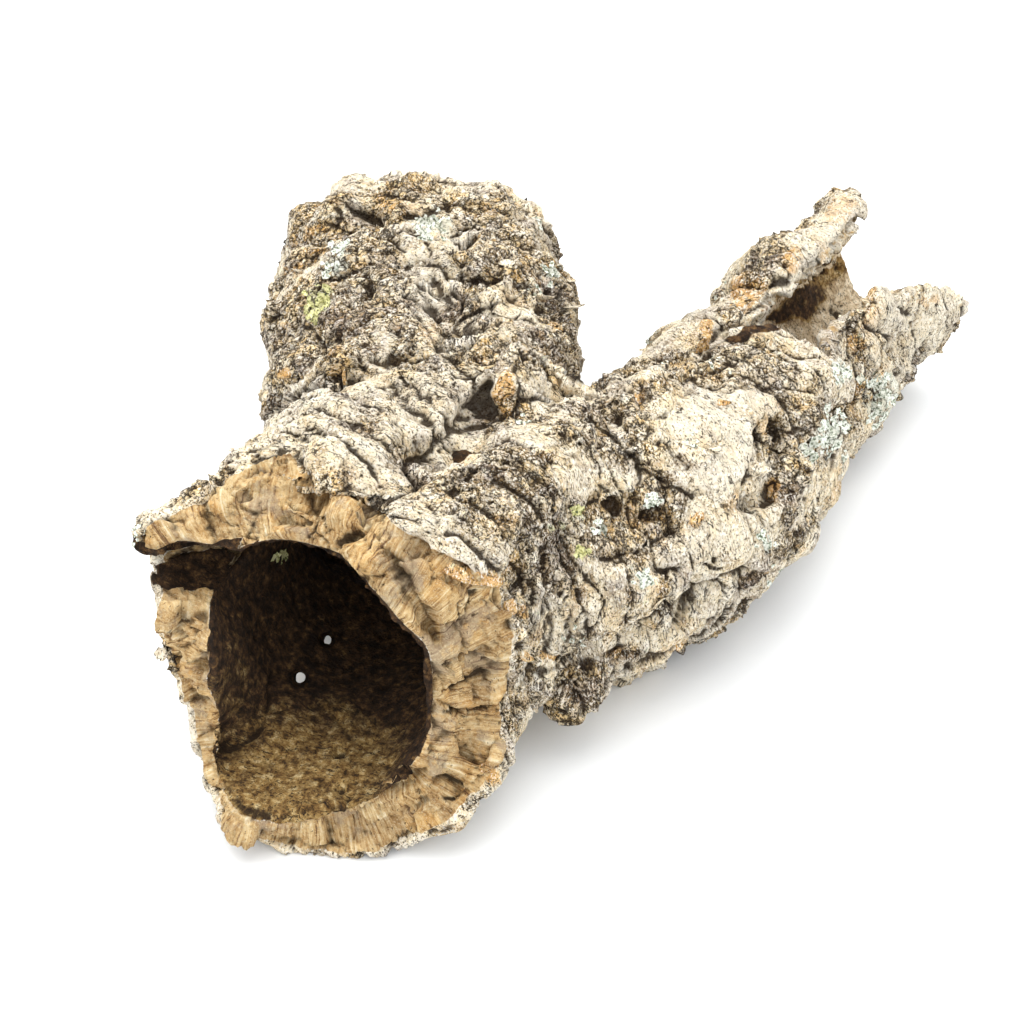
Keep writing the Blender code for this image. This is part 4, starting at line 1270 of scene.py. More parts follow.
def cork(name, bump):
    """Virgin cork bark: cream and grey weathered cork with black specks and cracks, tan where it is torn.

    It was never shaped or coated, so the eye gets only dry, matt light from it, broken up by grain and grime;
    its colour also holds painted shade in crevices and a painted highlight on crests.
    """
    made = bpy.data.materials.new(name)
    made.use_nodes = True
    tree = made.node_tree
    shader = tree.nodes["Principled BSDF"]
    where = add(tree, "ShaderNodeTexCoord", output=3)
    mm = add(tree, "ShaderNodeVectorMath", {"operation": "SCALE"}, {0: where, "Scale": 1000.0})
    sides, tints, growth, rings, flow = [
        add(tree, "ShaderNodeAttribute", {"attribute_name": field}, output=1)
        for field in ("sides", "tints", "growth", "rings", "flow")
    ]
    gritty = add(tree, "ShaderNodeAttribute", {"attribute_name": "skin"}, output=2)
    rim, lining, crevice = add(tree, "ShaderNodeSeparateXYZ", None, {0: sides}).node.outputs
    ochre, bleached, crest_highlight = add(tree, "ShaderNodeSeparateXYZ", None, {0: tints}).node.outputs
    # dusty carries painted light where light falls into the hollow, as well as dust.
    mint, yellow, dusty = add(tree, "ShaderNodeSeparateXYZ", None, {0: growth}).node.outputs

    # Scales are one over mm. The specks of real cork are 0.2 to 0.5 mm, drawn at 0.9 mm so that they show.
    noise_kind = "ShaderNodeTexNoise"
    drift = add(tree, noise_kind, None, {"Vector": mm, "Scale": 1 / 3.0, "Detail": 2.0}, 1)
    drift = add(tree, "ShaderNodeVectorMath", MULTIPLY_ADD, {0: drift, 1: (2.4, 2.4, 2.4), 2: mm})
    patches = add(tree, noise_kind, None, {"Vector": mm, "Scale": 1 / 24, "Detail": 5.0, "Roughness": 0.65})
    mottle = add(tree, noise_kind, None, {"Vector": drift, "Scale": 1 / 4.2, "Detail": 6.0, "Roughness": 0.7})
    spots = add(tree, noise_kind, None, {"Vector": mm, "Scale": 1 / 9, "Detail": 6.0, "Roughness": 0.75})
    stretched = add(tree, "ShaderNodeVectorMath", MULTIPLY, {0: flow, 1: (1 / 0.9, 1 / 1.5, 1 / 1.5)})
    grit = add(tree, noise_kind, None, {"Vector": stretched, "Scale": 1.0, "Detail": 2.0, "Roughness": 0.8})
    grains = {"Vector": mm, "Scale": 1 / 1.1, "Detail": 2.0, "Roughness": 0.8}
    round_grit = add(tree, noise_kind, None, grains)
    bent = add(tree, noise_kind, None, {"Vector": mm, "Scale": 1 / 12, "Detail": 4.0}, 1)
    bent = add(tree, "ShaderNodeVectorMath", MULTIPLY_ADD, {0: bent, 1: (8.0, 8.0, 8.0), 2: flow})
    folded = add(tree, "ShaderNodeVectorMath", MULTIPLY, {0: bent, 1: (1 / 6.5, 1 / 34, 1 / 34)})
    across = add(tree, noise_kind, None, {"Vector": folded, "Scale": 1.0, "Detail": 3.0, "Roughness": 0.6})
    folded = add(tree, "ShaderNodeVectorMath", MULTIPLY, {0: bent, 1: (1 / 1.5, 1 / 13, 1 / 13)})
    lines = add(tree, noise_kind, None, {"Vector": folded, "Scale": 1.0, "Detail": 2.0, "Roughness": 0.7})
    wander = add(tree, noise_kind, None, {"Vector": drift, "Scale": 1 / 9, "Detail": 3.0, "Roughness": 0.6})

    # Weathered face: straw, brown where it is thin, near white where it has dried out, in grey and yellow
    # patches, and painted lighter on raised crests as a painted highlight.
    lifted = add(tree, "ShaderNodeMath", MULTIPLY_ADD, {0: crest_highlight, 1: 0.18, 2: mottle})
    ground = add(tree, "ShaderNodeValToRGB", None, {0: lifted})
    fill(ground, [
        (0.34, "#A8926F"), (0.43, "#D3C29F"), (0.50, "#E5D8BC"), (0.58, "#EFE6D3"), (0.70, "#FAF6EE"),
    ])
    tone = add(tree, "ShaderNodeValToRGB", None, {0: patches})
    fill(tone, [
        (0.36, "#A09290"), (0.44, "#D9D0C6"), (0.52, "#FAF4E8"), (0.58, "#F5E2BA"), (0.66, "#E3BE7E"),
    ])
    face = add(tree, "ShaderNodeMix", TINT, {0: 0.8, 6: ground, 7: tone}, 2)
    # Scales of dead bark about 4 by 6 mm with ragged outlines, split by black gaps. Each takes its tone from
    # the number that also sets its height in the bump below, so low scales are painted darker as painted
    # shade and high ones lighter as painted highlight.
    skewed = add(tree, noise_kind, None, {"Vector": mm, "Scale": 1 / 5, "Detail": 4.0, "Roughness": 0.7}, 1)
    skewed = add(tree, "ShaderNodeVectorMath", MULTIPLY_ADD, {0: skewed, 1: (9.0, 9.0, 9.0), 2: flow})
    skewed = add(tree, "ShaderNodeVectorMath", MULTIPLY, {0: skewed, 1: (1 / 3.6, 1 / 6.2, 1 / 6.2)})
    scales = add(tree, "ShaderNodeTexVoronoi", {"feature": "F1"}, {"Vector": skewed, "Scale": 1.0}, 1)
    number = add(tree, "ShaderNodeSeparateXYZ", None, {0: scales}).node.outputs[0]
    edge = {"feature": "DISTANCE_TO_EDGE"}
    gaps = add(tree, "ShaderNodeTexVoronoi", edge, {"Vector": skewed, "Scale": 1.0})
    scale_shade_tone = add(tree, "ShaderNodeValToRGB", None, {0: number})
    fill(scale_shade_tone, [
        (0.0, "#958676"), (0.25, "#C6B8A3"), (0.5, "#E4DACA"), (0.7, "#FFFFFF"), (0.9, "#EFD8AC"),
    ])
    some = add(tree, "ShaderNodeMapRange", None, {0: gritty, 3: 0.12, 4: 0.80})
    face = add(tree, "ShaderNodeMix", TINT, {0: some, 6: face, 7: scale_shade_tone}, 2)
    # Where the bark is smooth it is cream, with fine brown lines across the limb.
    smooth = add(tree, "ShaderNodeMapRange", None, {0: gritty, 3: 1.0, 4: 0.0})
    cream = add(tree, "ShaderNodeMath", MULTIPLY, {0: smooth, 1: 0.32})
    face = add(tree, "ShaderNodeMix", MIX, {0: cream, 6: face, 7: linear("#EADFC9")}, 2)
    lined = add(tree, "ShaderNodeMapRange", None, {0: lines, 1: 0.46, 2: 0.38, 3: 0.0, 4: 0.5})
    lined = add(tree, "ShaderNodeMath", MULTIPLY, {0: lined, 1: smooth})
    face = add(tree, "ShaderNodeMix", MIX, {0: lined, 6: face, 7: linear("#8A7050")}, 2)
    raw = add(tree, "ShaderNodeMath", MULTIPLY_ADD, {0: ochre, 1: 0.45, 2: spots})
    raw = add(tree, "ShaderNodeMapRange", None, {0: raw, 1: 0.62, 2: 0.74, 3: 0.0, 4: 0.85})
    fresh = add(tree, "ShaderNodeValToRGB", None, {0: mottle})
    fill(fresh, [(0.36, "#A87B45"), (0.48, "#CF9C55"), (0.58, "#DDB676"), (0.68, "#E6CFA0")])
    face = add(tree, "ShaderNodeMix", MIX, {0: raw, 6: face, 7: fresh}, 2)
    sunned = add(tree, "ShaderNodeMath", MULTIPLY, {0: bleached, 1: 0.5})
    face = add(tree, "ShaderNodeMix", MIX, {0: sunned, 6: face, 7: linear("#DFD6C4")}, 2)

    # Lichen crusts, thin and dusty.
    grown = add(tree, "ShaderNodeMath", MULTIPLY_ADD, {0: mint, 1: 0.4, 2: mottle})
    grown = add(tree, "ShaderNodeMapRange", None, {0: grown, 1: 0.64, 2: 0.70, 3: 0.0, 4: 0.6})
    face = add(tree, "ShaderNodeMix", MIX, {0: grown, 6: face, 7: linear("#D5D7C6")}, 2)
    grown = add(tree, "ShaderNodeMath", MULTIPLY_ADD, {0: yellow, 1: 0.4, 2: mottle})
    grown = add(tree, "ShaderNodeMapRange", None, {0: grown, 1: 0.62, 2: 0.74, 3: 0.0, 4: 0.75})
    face = add(tree, "ShaderNodeMix", MIX, {0: grown, 6: face, 7: linear("#D3D09A")}, 2)

    # Chalky flecks stand out in some patches more than in others.
    chalk = add(tree, "ShaderNodeMath", MULTIPLY_ADD, {0: spots, 1: -0.3, 2: grit})
    chalk = add(tree, "ShaderNodeMapRange", None, {0: chalk, 1: 0.425, 2: 0.445, 3: 0.0, 4: 0.75})
    face = add(tree, "ShaderNodeMix", MIX, {0: chalk, 6: face, 7: linear("#F1EBDF")}, 2)

    # Torn edge: fresh tan cork with a fine grain that runs out through the wall.
    turned = add(tree, "ShaderNodeVectorMath", MULTIPLY, {0: rings, 1: (1 / 11, 1 / 1.2, 1 / 1.2)})
    streaked = add(tree, noise_kind, None, {"Vector": turned, "Scale": 1.0, "Detail": 3.0, "Roughness": 0.7})
    both = add(tree, "ShaderNodeMath", MULTIPLY_ADD, {0: mottle, 1: 0.6, 2: streaked})
    torn_face = add(tree, "ShaderNodeValToRGB", None, {0: both})
    fill(torn_face, [
        (0.58, "#6E5335"), (0.70, "#A98A60"), (0.80, "#C6A97C"), (0.90, "#D6C097"), (1.0, "#E6D9BE"),
    ])
    # Chunks of the torn face about 14 mm across, each with its own tone.
    chunks = add(tree, "ShaderNodeVectorMath", MULTIPLY_ADD, {0: skewed, 1: (1.0, 1.6, 1.6), 2: mm})
    chunks = add(tree, "ShaderNodeTexVoronoi", {"feature": "F1"}, {"Vector": chunks, "Scale": 1 / 14}, 1)
    chunk_tone = add(tree, "ShaderNodeValToRGB", None, {0: chunks})
    fill(chunk_tone, [(0.1, "#BDAB92"), (0.35, "#EADDC8"), (0.6, "#FFFBF0"), (0.85, "#F2DCB4")])
    torn_face = add(tree, "ShaderNodeMix", TINT, {0: 0.7, 6: torn_face, 7: chunk_tone}, 2)
    raw = add(tree, "ShaderNodeMapRange", None, {0: patches, 1: 0.56, 2: 0.66, 3: 0.0, 4: 0.4})
    torn_face = add(tree, "ShaderNodeMix", MIX, {0: raw, 6: torn_face, 7: linear("#C8944E")}, 2)
    aged = add(tree, "ShaderNodeMapRange", None, {0: patches, 1: 0.46, 2: 0.38, 3: 0.0, 4: 0.6})
    torn_face = add(tree, "ShaderNodeMix", MIX, {0: aged, 6: torn_face, 7: linear("#9C8C78")}, 2)
    pale = add(tree, "ShaderNodeMapRange", None, {0: round_grit, 1: 0.55, 2: 0.61, 3: 0.0, 4: 0.4})
    torn_face = add(tree, "ShaderNodeMix", MIX, {0: pale, 6: torn_face, 7: linear("#DDCBA6")}, 2)
    pored = add(tree, "ShaderNodeMapRange", None, {0: streaked, 1: 0.40, 2: 0.32, 3: 0.0, 4: 0.7})
    torn_face = add(tree, "ShaderNodeMix", MIX, {0: pored, 6: torn_face, 7: linear("#5E4230")}, 2)

    # Face that lay on the wood: dark brown and stained, and paler near the mouth and in the half pipe, partly
    # dust and dried cork, partly painted light where light falls in.
    peeled = add(tree, "ShaderNodeValToRGB", None, {0: mottle})
    fill(peeled, [
        (0.32, "#120C07"), (0.44, "#281B10"), (0.54, "#46311E"), (0.64, "#6B5030"), (0.76, "#8F7748"),
    ])
    powder_and_light = add(tree, "ShaderNodeValToRGB", None, {0: mottle})
    fill(powder_and_light, [(0.34, "#33240F"), (0.44, "#755730"), (0.54, "#9C7E4C"), (0.68, "#CDB789")])
    settled_and_lit = add(tree, "ShaderNodeMath", MULTIPLY_ADD, {0: spots, 1: 1.4, 2: dusty})
    settled_and_lit = add(tree, "ShaderNodeMapRange", None, {0: settled_and_lit, 1: 1.05, 2: 1.40})
    peeled = add(tree, "ShaderNodeMix", MIX, {0: settled_and_lit, 6: peeled, 7: powder_and_light}, 2)
    dried = add(tree, "ShaderNodeValToRGB", None, {0: mottle})
    fill(dried, [(0.34, "#A38969"), (0.44, "#CBB594"), (0.54, "#E0CDAE"), (0.68, "#F0E6D2")])
    settled_and_lit = add(tree, "ShaderNodeMapRange", None, {0: dusty, 1: 0.72, 2: 0.95})
    peeled = add(tree, "ShaderNodeMix", MIX, {0: settled_and_lit, 6: peeled, 7: dried}, 2)

    at_rim = add(tree, "ShaderNodeMath", MULTIPLY_ADD, {0: spots, 1: 0.7, 2: rim})
    at_rim = add(tree, "ShaderNodeMapRange", None, {0: at_rim, 1: 0.80, 2: 0.88})
    colour = add(tree, "ShaderNodeMix", MIX, {0: at_rim, 6: face, 7: torn_face}, 2)
    at_lining = add(tree, "ShaderNodeMath", MULTIPLY_ADD, {0: spots, 1: 0.7, 2: lining})
    at_lining = add(tree, "ShaderNodeMapRange", None, {0: at_lining, 1: 0.80, 2: 0.92})
    colour = add(tree, "ShaderNodeMix", MIX, {0: at_lining, 6: colour, 7: peeled}, 2)

    # Black specks and short strokes across the limb, fewer where it is torn.
    dotted = add(tree, "ShaderNodeMath", MULTIPLY_ADD, {0: spots, 1: 0.35, 2: grit})
    dotted = add(tree, "ShaderNodeMath", MULTIPLY_ADD, {0: at_rim, 1: 0.08, 2: dotted})
    dotted = add(tree, "ShaderNodeMath", MULTIPLY_ADD, {0: smooth, 1: 0.04, 2: dotted})
    dotted = add(tree, "ShaderNodeMath", MULTIPLY_ADD, {0: bleached, 1: 0.03, 2: dotted})
    dotted = add(tree, "ShaderNodeMapRange", None, {0: dotted, 1: 0.625, 2: 0.60, 3: 0.0, 4: 0.92})
    colour = add(tree, "ShaderNodeMix", MIX, {0: dotted, 6: colour, 7: linear("#31261C")}, 2)

    # Black gaps between the scales, wide in gritty patches and shut in others, and wandering cracks.
    patchy = add(tree, "ShaderNodeMapRange", None, {0: spots, 1: 0.46, 2: 0.54})
    folded = add(tree, "ShaderNodeMath", {"operation": "COMPARE"}, {0: across, 1: 0.5, 2: 0.009})
    split = add(tree, "ShaderNodeMath", {"operation": "COMPARE"}, {0: wander, 1: 0.52, 2: 0.004})
    broken = add(tree, "ShaderNodeMath", MAXIMUM, {0: folded, 1: split})
    broken = add(tree, "ShaderNodeMath", MULTIPLY, {0: broken, 1: patchy})
    width = add(tree, "ShaderNodeMath", MULTIPLY_ADD, {0: round_grit, 1: 0.9, 2: spots})
    width = add(tree, "ShaderNodeMath", MULTIPLY_ADD, {0: gritty, 1: 0.26, 2: width})
    width = add(tree, "ShaderNodeMath", MULTIPLY_ADD, {0: width, 1: -0.30, 2: gaps})
    gap = add(tree, "ShaderNodeMapRange", None, {0: width, 1: -0.33, 2: -0.29, 3: 1.0, 4: 0.0})
    broken = add(tree, "ShaderNodeMath", MAXIMUM, {0: broken, 1: gap})
    outside = add(tree, "ShaderNodeMapRange", None, {0: rim, 1: 0.0, 2: 0.6, 3: 0.9, 4: 0.1})
    broken = add(tree, "ShaderNodeMath", MULTIPLY, {0: broken, 1: outside})
    colour = add(tree, "ShaderNodeMix", MIX, {0: broken, 6: colour, 7: linear("#241B14")}, 2)

    # Painted shade and dirt in every crevice, crack and hollow: darker where the relief lies low.
    crevice_shade_and_dirt = add(tree, "ShaderNodeMath", MULTIPLY_ADD, {0: mottle, 1: -0.6, 2: crevice})
    crevice_shade_and_dirt = add(tree, "ShaderNodeMapRange", None, {0: crevice_shade_and_dirt, 1: -0.10, 2: 0.40, 3: 0.0, 4: 0.9})
    colour = add(tree, "ShaderNodeMix", MIX, {0: crevice_shade_and_dirt, 6: colour, 7: linear("#2A1E13")}, 2)
    tree.links.new(colour, shader.inputs["Base Color"])

    height = add(tree, "ShaderNodeMath", MULTIPLY_ADD, {0: grit, 1: 0.7, 2: mottle})
    height = add(tree, "ShaderNodeMath", MULTIPLY_ADD, {0: lines, 1: 0.4, 2: height})
    # The scale number that paints the scale shade and highlight above raises each scale here.
    stepped = add(tree, "ShaderNodeMath", MULTIPLY, {0: number, 1: some})
    height = add(tree, "ShaderNodeMath", MULTIPLY_ADD, {0: stepped, 1: 0.5, 2: height})
    height = add(tree, "ShaderNodeMath", MULTIPLY_ADD, {0: broken, 1: -0.5, 2: height})
    raised = add(tree, "ShaderNodeBump", None, {"Strength": 1.0, "Distance": bump * MM, "Height": height})
    tree.links.new(raised, shader.inputs["Normal"])
    shader.inputs["Roughness"].default_value = 0.92
    shader.inputs["IOR"].default_value = 1.45
    shader.inputs["Specular IOR Level"].default_value = 0.25
    return made


def crust(name, code, pale):
    """Leafy lichen, grown and dried: a dusty thallus with dark and pale patches, without shine."""
    made = bpy.data.materials.new(name)
    made.use_nodes = True
    tree = made.node_tree
    shader = tree.nodes["Principled BSDF"]
    where = add(tree, "ShaderNodeTexCoord", output=3)
    mm = add(tree, "ShaderNodeVectorMath", {"operation": "SCALE"}, {0: where, "Scale": 1000.0})
    grains = {"Vector": mm, "Scale": 1 / 1.4, "Detail": 3.0, "Roughness": 0.7}
    dust = add(tree, "ShaderNodeTexNoise", None, grains)
    colour = add(tree, "ShaderNodeValToRGB", None, {0: dust})
    fill(colour, [(0.38, "#46503C"), (0.45, code), (0.53, pale)])
    tree.links.new(colour, shader.inputs["Base Color"])
    raised = add(tree, "ShaderNodeBump", None, {"Strength": 0.6, "Distance": 0.0003, "Height": dust})
    tree.links.new(raised, shader.inputs["Normal"])
    shader.inputs["Roughness"].default_value = 0.95
    return made


def card(colour):
    """Matt white card, pressed and uncoated: it spreads the light evenly and shows no gloss."""
    made = bpy.data.materials.new("matt_white_card")
    made.use_nodes = True
    shader = made.node_tree.nodes["Principled BSDF"]
    shader.inputs["Base Color"].default_value = (*colour, 1.0)
    shader.inputs["Roughness"].default_value = 0.95
    shader.inputs["Specular IOR Level"].default_value = 0.1
    return made


# The pieces that go on the bark


def bark_pieces():
    """The dressed faces of the three nodes."""
    faces = ("_bark_face", "_mouth_face", "_hollow_face")
    return [obj for obj in bpy.data.objects if obj.name.endswith(faces)]


def surface_tree():
    """The dressed bark as one tree for finding points on it."""
    corners, faces = [], []
    for obj in bark_pieces():
        start = len(corners)
        corners += [vert.co.copy() for vert in obj.data.vertices]
        faces += [tuple(start + k for k in polygon.vertices) for polygon in obj.data.polygons]
    return BVHTree.FromPolygons(corners, faces)


def spot_at(tree, x, y):
    """The place and the normal where the camera sees a pixel of the picture on the bark, or None."""
    eye, way = sight_line(x, y)
    place, normal, _, _ = tree.ray_cast(Vector((eye + CENTRING) * MM), Vector(way))
    return (place, normal) if place is not None else None


def joined(name, parts, surface):
    """One mesh object from many small lists of corners and faces."""
    corners, faces = [], []
    for some_corners, some_faces in parts:
        start = len(corners)
        corners += some_corners
        faces += [tuple(start + k for k in face) for face in some_faces]
    mesh = bpy.data.meshes.new(name)
    mesh.from_pydata(corners, [], faces)
    mesh.shade_smooth()
    mesh.materials.append(surface)
    obj = bpy.data.objects.new(name, mesh)
    bpy.context.scene.collection.objects.link(obj)
    return obj


def lobe(place, normal, size, dice):
    """A small ruffled leaf of lichen that stands a little off the bark."""
    side = normal.orthogonal().normalized()
    across = normal.cross(side)
    rings, spokes = 3, 11
    turn, waves = dice.uniform(0, 6.28), int(dice.integers(2, 5))
    corners = [place + normal * size * 0.12]
    for r in range(1, rings + 1):
        for k in range(spokes):
            a = 2 * math.pi * k / spokes
            reach = size * r / rings * (1 + 0.28 * math.sin(waves * a + turn) + 0.12 * dice.normal())
            ruffle = 0.55 + 0.6 * math.sin((waves + 2) * a + 2 * turn)
            lift = size * (0.10 + 0.34 * (r / rings) ** 2 * ruffle)
            flat = place + side * (reach * math.cos(a)) + across * (reach * math.sin(a))
            corners.append(flat + normal * lift)
    faces = [(0, 1 + k, 1 + (k + 1) % spokes) for k in range(spokes)]
    for r in range(1, rings):
        low, high = 1 + (r - 1) * spokes, 1 + r * spokes
        faces += [(low + k, high + k, high + (k + 1) % spokes, low + (k + 1) % spokes) for k in range(spokes)]
    return corners, faces


def flake(place, normal, way, length, width, thickness, curl, dice):
    """A thin chip of bark, rooted at the place and curling up towards its far end."""
    side = normal.cross(way).normalized()
    rows, columns = 6, 4
    corners = []
    for face_side in (0, 1):
        for i in range(rows):
            u = i / (rows - 1)
            bend = curl * u * u
            middle = place + way * (length * u * (1 - 0.25 * bend)) + normal * (length * 0.5 * bend + 0.0003)
            half = width / 2 * (0.75 + 0.35 * math.sin(3.0 * u + 0.5)) * (1 - 0.45 * u**3)
            for j in range(columns):
                v = 2 * j / (columns - 1) - 1
                jitter = 0.12 * width * dice.normal() if j in (0, columns - 1) or i == rows - 1 else 0.0
                cup = 0.10 * width * v * v
                thin = thickness * (1 - 0.7 * u) * face_side
                corners.append(middle + side * (v * half + jitter) + normal * (cup - thin))
    n = rows * columns
    faces = []
    for i in range(rows - 1):
        for j in range(columns - 1):
            k = i * columns + j
            faces.append((k, k + 1, k + 1 + columns, k + columns))
            faces.append((n + k, n + k + columns, n + k + 1 + columns, n + k + 1))
    border = [j for j in range(columns)] + [i * columns + columns - 1 for i in range(1, rows)]
    border += [(rows - 1) * columns + j for j in range(columns - 2, -1, -1)]
    border += [i * columns for i in range(rows - 2, 0, -1)]
    for a, b in zip(border, border[1:] + border[:1]):
        faces.append((a, a + n, b + n, b))
    return corners, faces


# Leafy lichen: the middle of each clump in the picture, how wide it is in pixels, and how many leaves it has.
Clump = namedtuple("Clump", "x y across leaves kind")
CLUMPS = [
    Clump(833, 432, 15, 34, "mint"),
    Clump(808, 448, 9, 14, "mint"),
    Clump(824, 444, 9, 14, "mint"),
    Clump(841, 372, 10, 18, "mint"),
    Clump(873, 378, 12, 20, "mint"),
    Clump(884, 400, 14, 26, "mint"),
    Clump(876, 416, 10, 14, "mint"),
    Clump(646, 577, 8, 12, "mint"),
    Clump(650, 500, 6, 8, "mint"),
    Clump(599, 531, 6, 8, "mint"),
    Clump(764, 543, 6, 8, "mint"),
    Clump(436, 224, 15, 24, "mint"),
    Clump(424, 229, 10, 12, "mint"),
    Clump(340, 250, 12, 14, "mint"),
    Clump(328, 268, 9, 10, "mint"),
    Clump(553, 272, 9, 12, "mint"),
    Clump(322, 298, 12, 20, "yellow"),
    Clump(317, 312, 9, 12, "yellow"),
    Clump(281, 554, 6, 9, "yellow"),
    Clump(582, 552, 6, 8, "yellow"),
    Clump(577, 513, 6, 7, "yellow"),
]
SCATTERED_CLUMPS = 26
SCATTERED_LEAVES = 9  # in each of those clumps
SCATTERED_FLAKES = 170
CHIP_THICKNESS = 0.9  # mm
FLAKE_THICKNESS = 0.6  # mm

# Chips of bark: the root of each in the picture, the way it points (0 to the right, 90 up), its length and
# width in mm, how far it curls up, and how ochre it is.
Chip = namedtuple("Chip", "x y turn length width curl ochre")
CHIPS = [
    Chip(562, 309, 12, 13, 6, 0.3, 0.0),
    Chip(455, 573, -14, 21, 6, 0.1, 1.0),
    Chip(446, 566, -30, 12, 5, 0.2, 0.6),
    Chip(480, 770, 20, 9, 5, 0.3, 1.0),
    Chip(718, 402, -10, 7, 3, 0.5, 0.8),
    Chip(756, 430, 10, 10, 9, 0.9, 0.1),
    Chip(752, 466, -25, 10, 6, 0.5, 0.0),
    Chip(770, 486, -60, 7, 4, 0.6, 0.9),
    Chip(690, 519, 5, 7, 6, 0.3, 0.8),
    Chip(614, 656, 10, 7, 4, 0.4, 0.9),
    Chip(676, 648, 25, 7, 4, 0.5, 1.0),
    Chip(700, 352, 100, 9, 7, 0.3, 0.8),
    Chip(606, 404, -20, 9, 5, 0.5, 0.2),
    Chip(636, 399, 20, 6, 5, 0.5, 0.9),
    Chip(655, 423, -40, 8, 5, 0.6, 0.1),
    Chip(500, 262, -20, 9, 5, 0.4, 0.1),
    Chip(537, 296, -15, 10, 5, 0.6, 0.0),
    Chip(534, 318, -30, 9, 5, 0.5, 0.2),
    Chip(345, 385, 60, 8, 6, 0.5, 0.6),
    Chip(290, 372, 200, 8, 5, 0.5, 0.5),
    Chip(508, 600, -70, 9, 5, 0.4, 0.6),
    Chip(520, 652, -50, 8, 5, 0.4, 0.4),
    Chip(548, 655, 15, 7, 4, 0.4, 0.9),
    Chip(870, 300, 70, 8, 5, 0.4, 0.9),
]


def face_spots(dice, count):
    """Places on the outer bark chosen by chance, all round the branch."""
    pieces = [obj for obj in bark_pieces() if obj.name.endswith("_bark_face")]
    sizes = [len(obj.data.vertices) for obj in pieces]
    found = []
    while len(found) < count:
        obj = pieces[int(dice.choice(len(pieces), p=np.array(sizes) / sum(sizes)))]
        index = int(dice.integers(len(obj.data.vertices)))
        place = obj.data.vertices[index].co
        rim, _, crevice = obj.data.attributes["sides"].data[index].vector
        if rim < 0.2 and crevice < 0.25 and place.z > 0.006:
            found.append(place.copy())
    return found


def nearest_face(tree, place):
    """The nearest point of the bark, and its normal."""
    spot, normal, _, _ = tree.find_nearest(place)
    return spot, normal


class BarkSettings(bpy.types.PropertyGroup):
    mesh_size: FloatProperty(
        name="Mesh size", description="Distance between the points of the bark's mesh", default=0.0013,
        min=0.0009, max=0.004, unit="LENGTH", subtype="DISTANCE",
    )
    relief: FloatProperty(
        name="Relief", description="How strong the fine relief is, 1 as photographed", default=1.0,
        min=0.0, max=2.0,
    )
    bump: FloatProperty(
        name="Grain", description="Depth of the grain too fine for the mesh, in mm", default=1.0,
        min=0.0, max=2.0,
    )


class LooseSettings(bpy.types.PropertyGroup):
    seed: IntProperty(
        name="Seed", description="Another seed scatters the loose pieces anew", default=5, min=0,
    )
    flake_length: FloatProperty(
        name="Flake length", description="Length of a middling flake", default=0.0045, min=0.001, max=0.02,
        unit="LENGTH", subtype="DISTANCE",
    )


class StageSettings(bpy.types.PropertyGroup):
    floor_colour: FloatVectorProperty(
        name="Floor colour", description="Colour of the floor and the backdrop", default=(0.90, 0.91, 0.92),
        min=0.0, max=1.0, subtype="COLOR",
    )
    key_power: FloatProperty(
        name="Key light", description="Power of the large soft light overhead", default=18.0,
        min=0.0, unit="POWER",
    )
    fill: FloatProperty(
        name="Fill", description="Strength of the even light from all round", default=1.5, min=0.0, max=5.0,
    )


class CORK_OT_bark(bpy.types.Operator):
    """Dress the three nodes in bark, torn rim and hollow"""

    bl_idname = "cork.bark"
    bl_label = "Bark"

    def execute(self, context):
        settings = context.scene.cork_bark
        points, quads, normals, fields = bark_surface(settings.mesh_size, settings.relief)
        middles = points[quads].mean(1)
        ahead = beyond_line(middles, CROTCH, SPLIT_AHEAD)
        left = ahead & beyond_line(middles, SPLIT_LEFT, CROTCH)
        right = ~ahead & beyond_line(middles, CROTCH, SPLIT_RIGHT)
        trunk = ~left & ~right
        rim, lining, _ = fields["sides"][quads].mean(1).T
        hollow = lining > 0.5
        mouth = trunk & ~hollow & (rim > 0.5)
        outer_cork = cork("virgin_cork_bark_weathered_and_torn", settings.bump)
        inner_cork = cork("cork_inner_face_stripped_from_the_wood", settings.bump)
        for name, node, chosen, surface in (
            ("trunk_bark_face", "trunk", trunk & ~hollow & ~mouth, outer_cork),
            ("trunk_mouth_face", "trunk", mouth, outer_cork),
            ("trunk_hollow_face", "trunk", trunk & hollow, inner_cork),
            ("left_limb_bark_face", "left_limb", left & ~hollow, outer_cork),
            ("left_limb_hollow_face", "left_limb", left & hollow, inner_cork),
            ("right_limb_bark_face", "right_limb", right & ~hollow, outer_cork),
            ("right_limb_hollow_face", "right_limb", right & hollow, inner_cork),
        ):
            piece = piece_of(name, points, quads[chosen], normals, fields)
            piece.data.materials.append(surface)
            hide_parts(node)
            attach(piece, "root")
        return {"FINISHED"}


class CORK_OT_lichen(bpy.types.Operator):
    """Grow leafy lichen on the bark"""

    bl_idname = "cork.lichen"
    bl_label = "Lichen"

    def execute(self, context):
        dice = np.random.default_rng(context.scene.cork_loose.seed)
        tree = surface_tree()
        leaves = {"mint": [], "yellow": []}
        for clump in CLUMPS:
            for _ in range(clump.leaves):
                x, y = np.array([clump.x, clump.y]) + dice.normal(size=2) * clump.across * 0.5
                spot = spot_at(tree, x, y)
                if spot:
                    leaves[clump.kind].append(lobe(*spot, dice.uniform(0.0010, 0.0028), dice))
        for place in face_spots(dice, SCATTERED_CLUMPS):
            for _ in range(SCATTERED_LEAVES):
                near = place + Vector(dice.normal(size=3)) * 0.0035
                leaves["mint"].append(lobe(*nearest_face(tree, near), dice.uniform(0.0008, 0.0017), dice))
        for kind, code, pale in (("mint", "#B4BBA6", "#ECECE2"), ("yellow", "#ACA95F", "#DDD9A4")):
            surface = crust(f"foliose_lichen_dried_{kind}", code, pale)
            piece = joined(f"lichen_{kind}", leaves[kind], surface)
            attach(piece, "root")
        return {"FINISHED"}


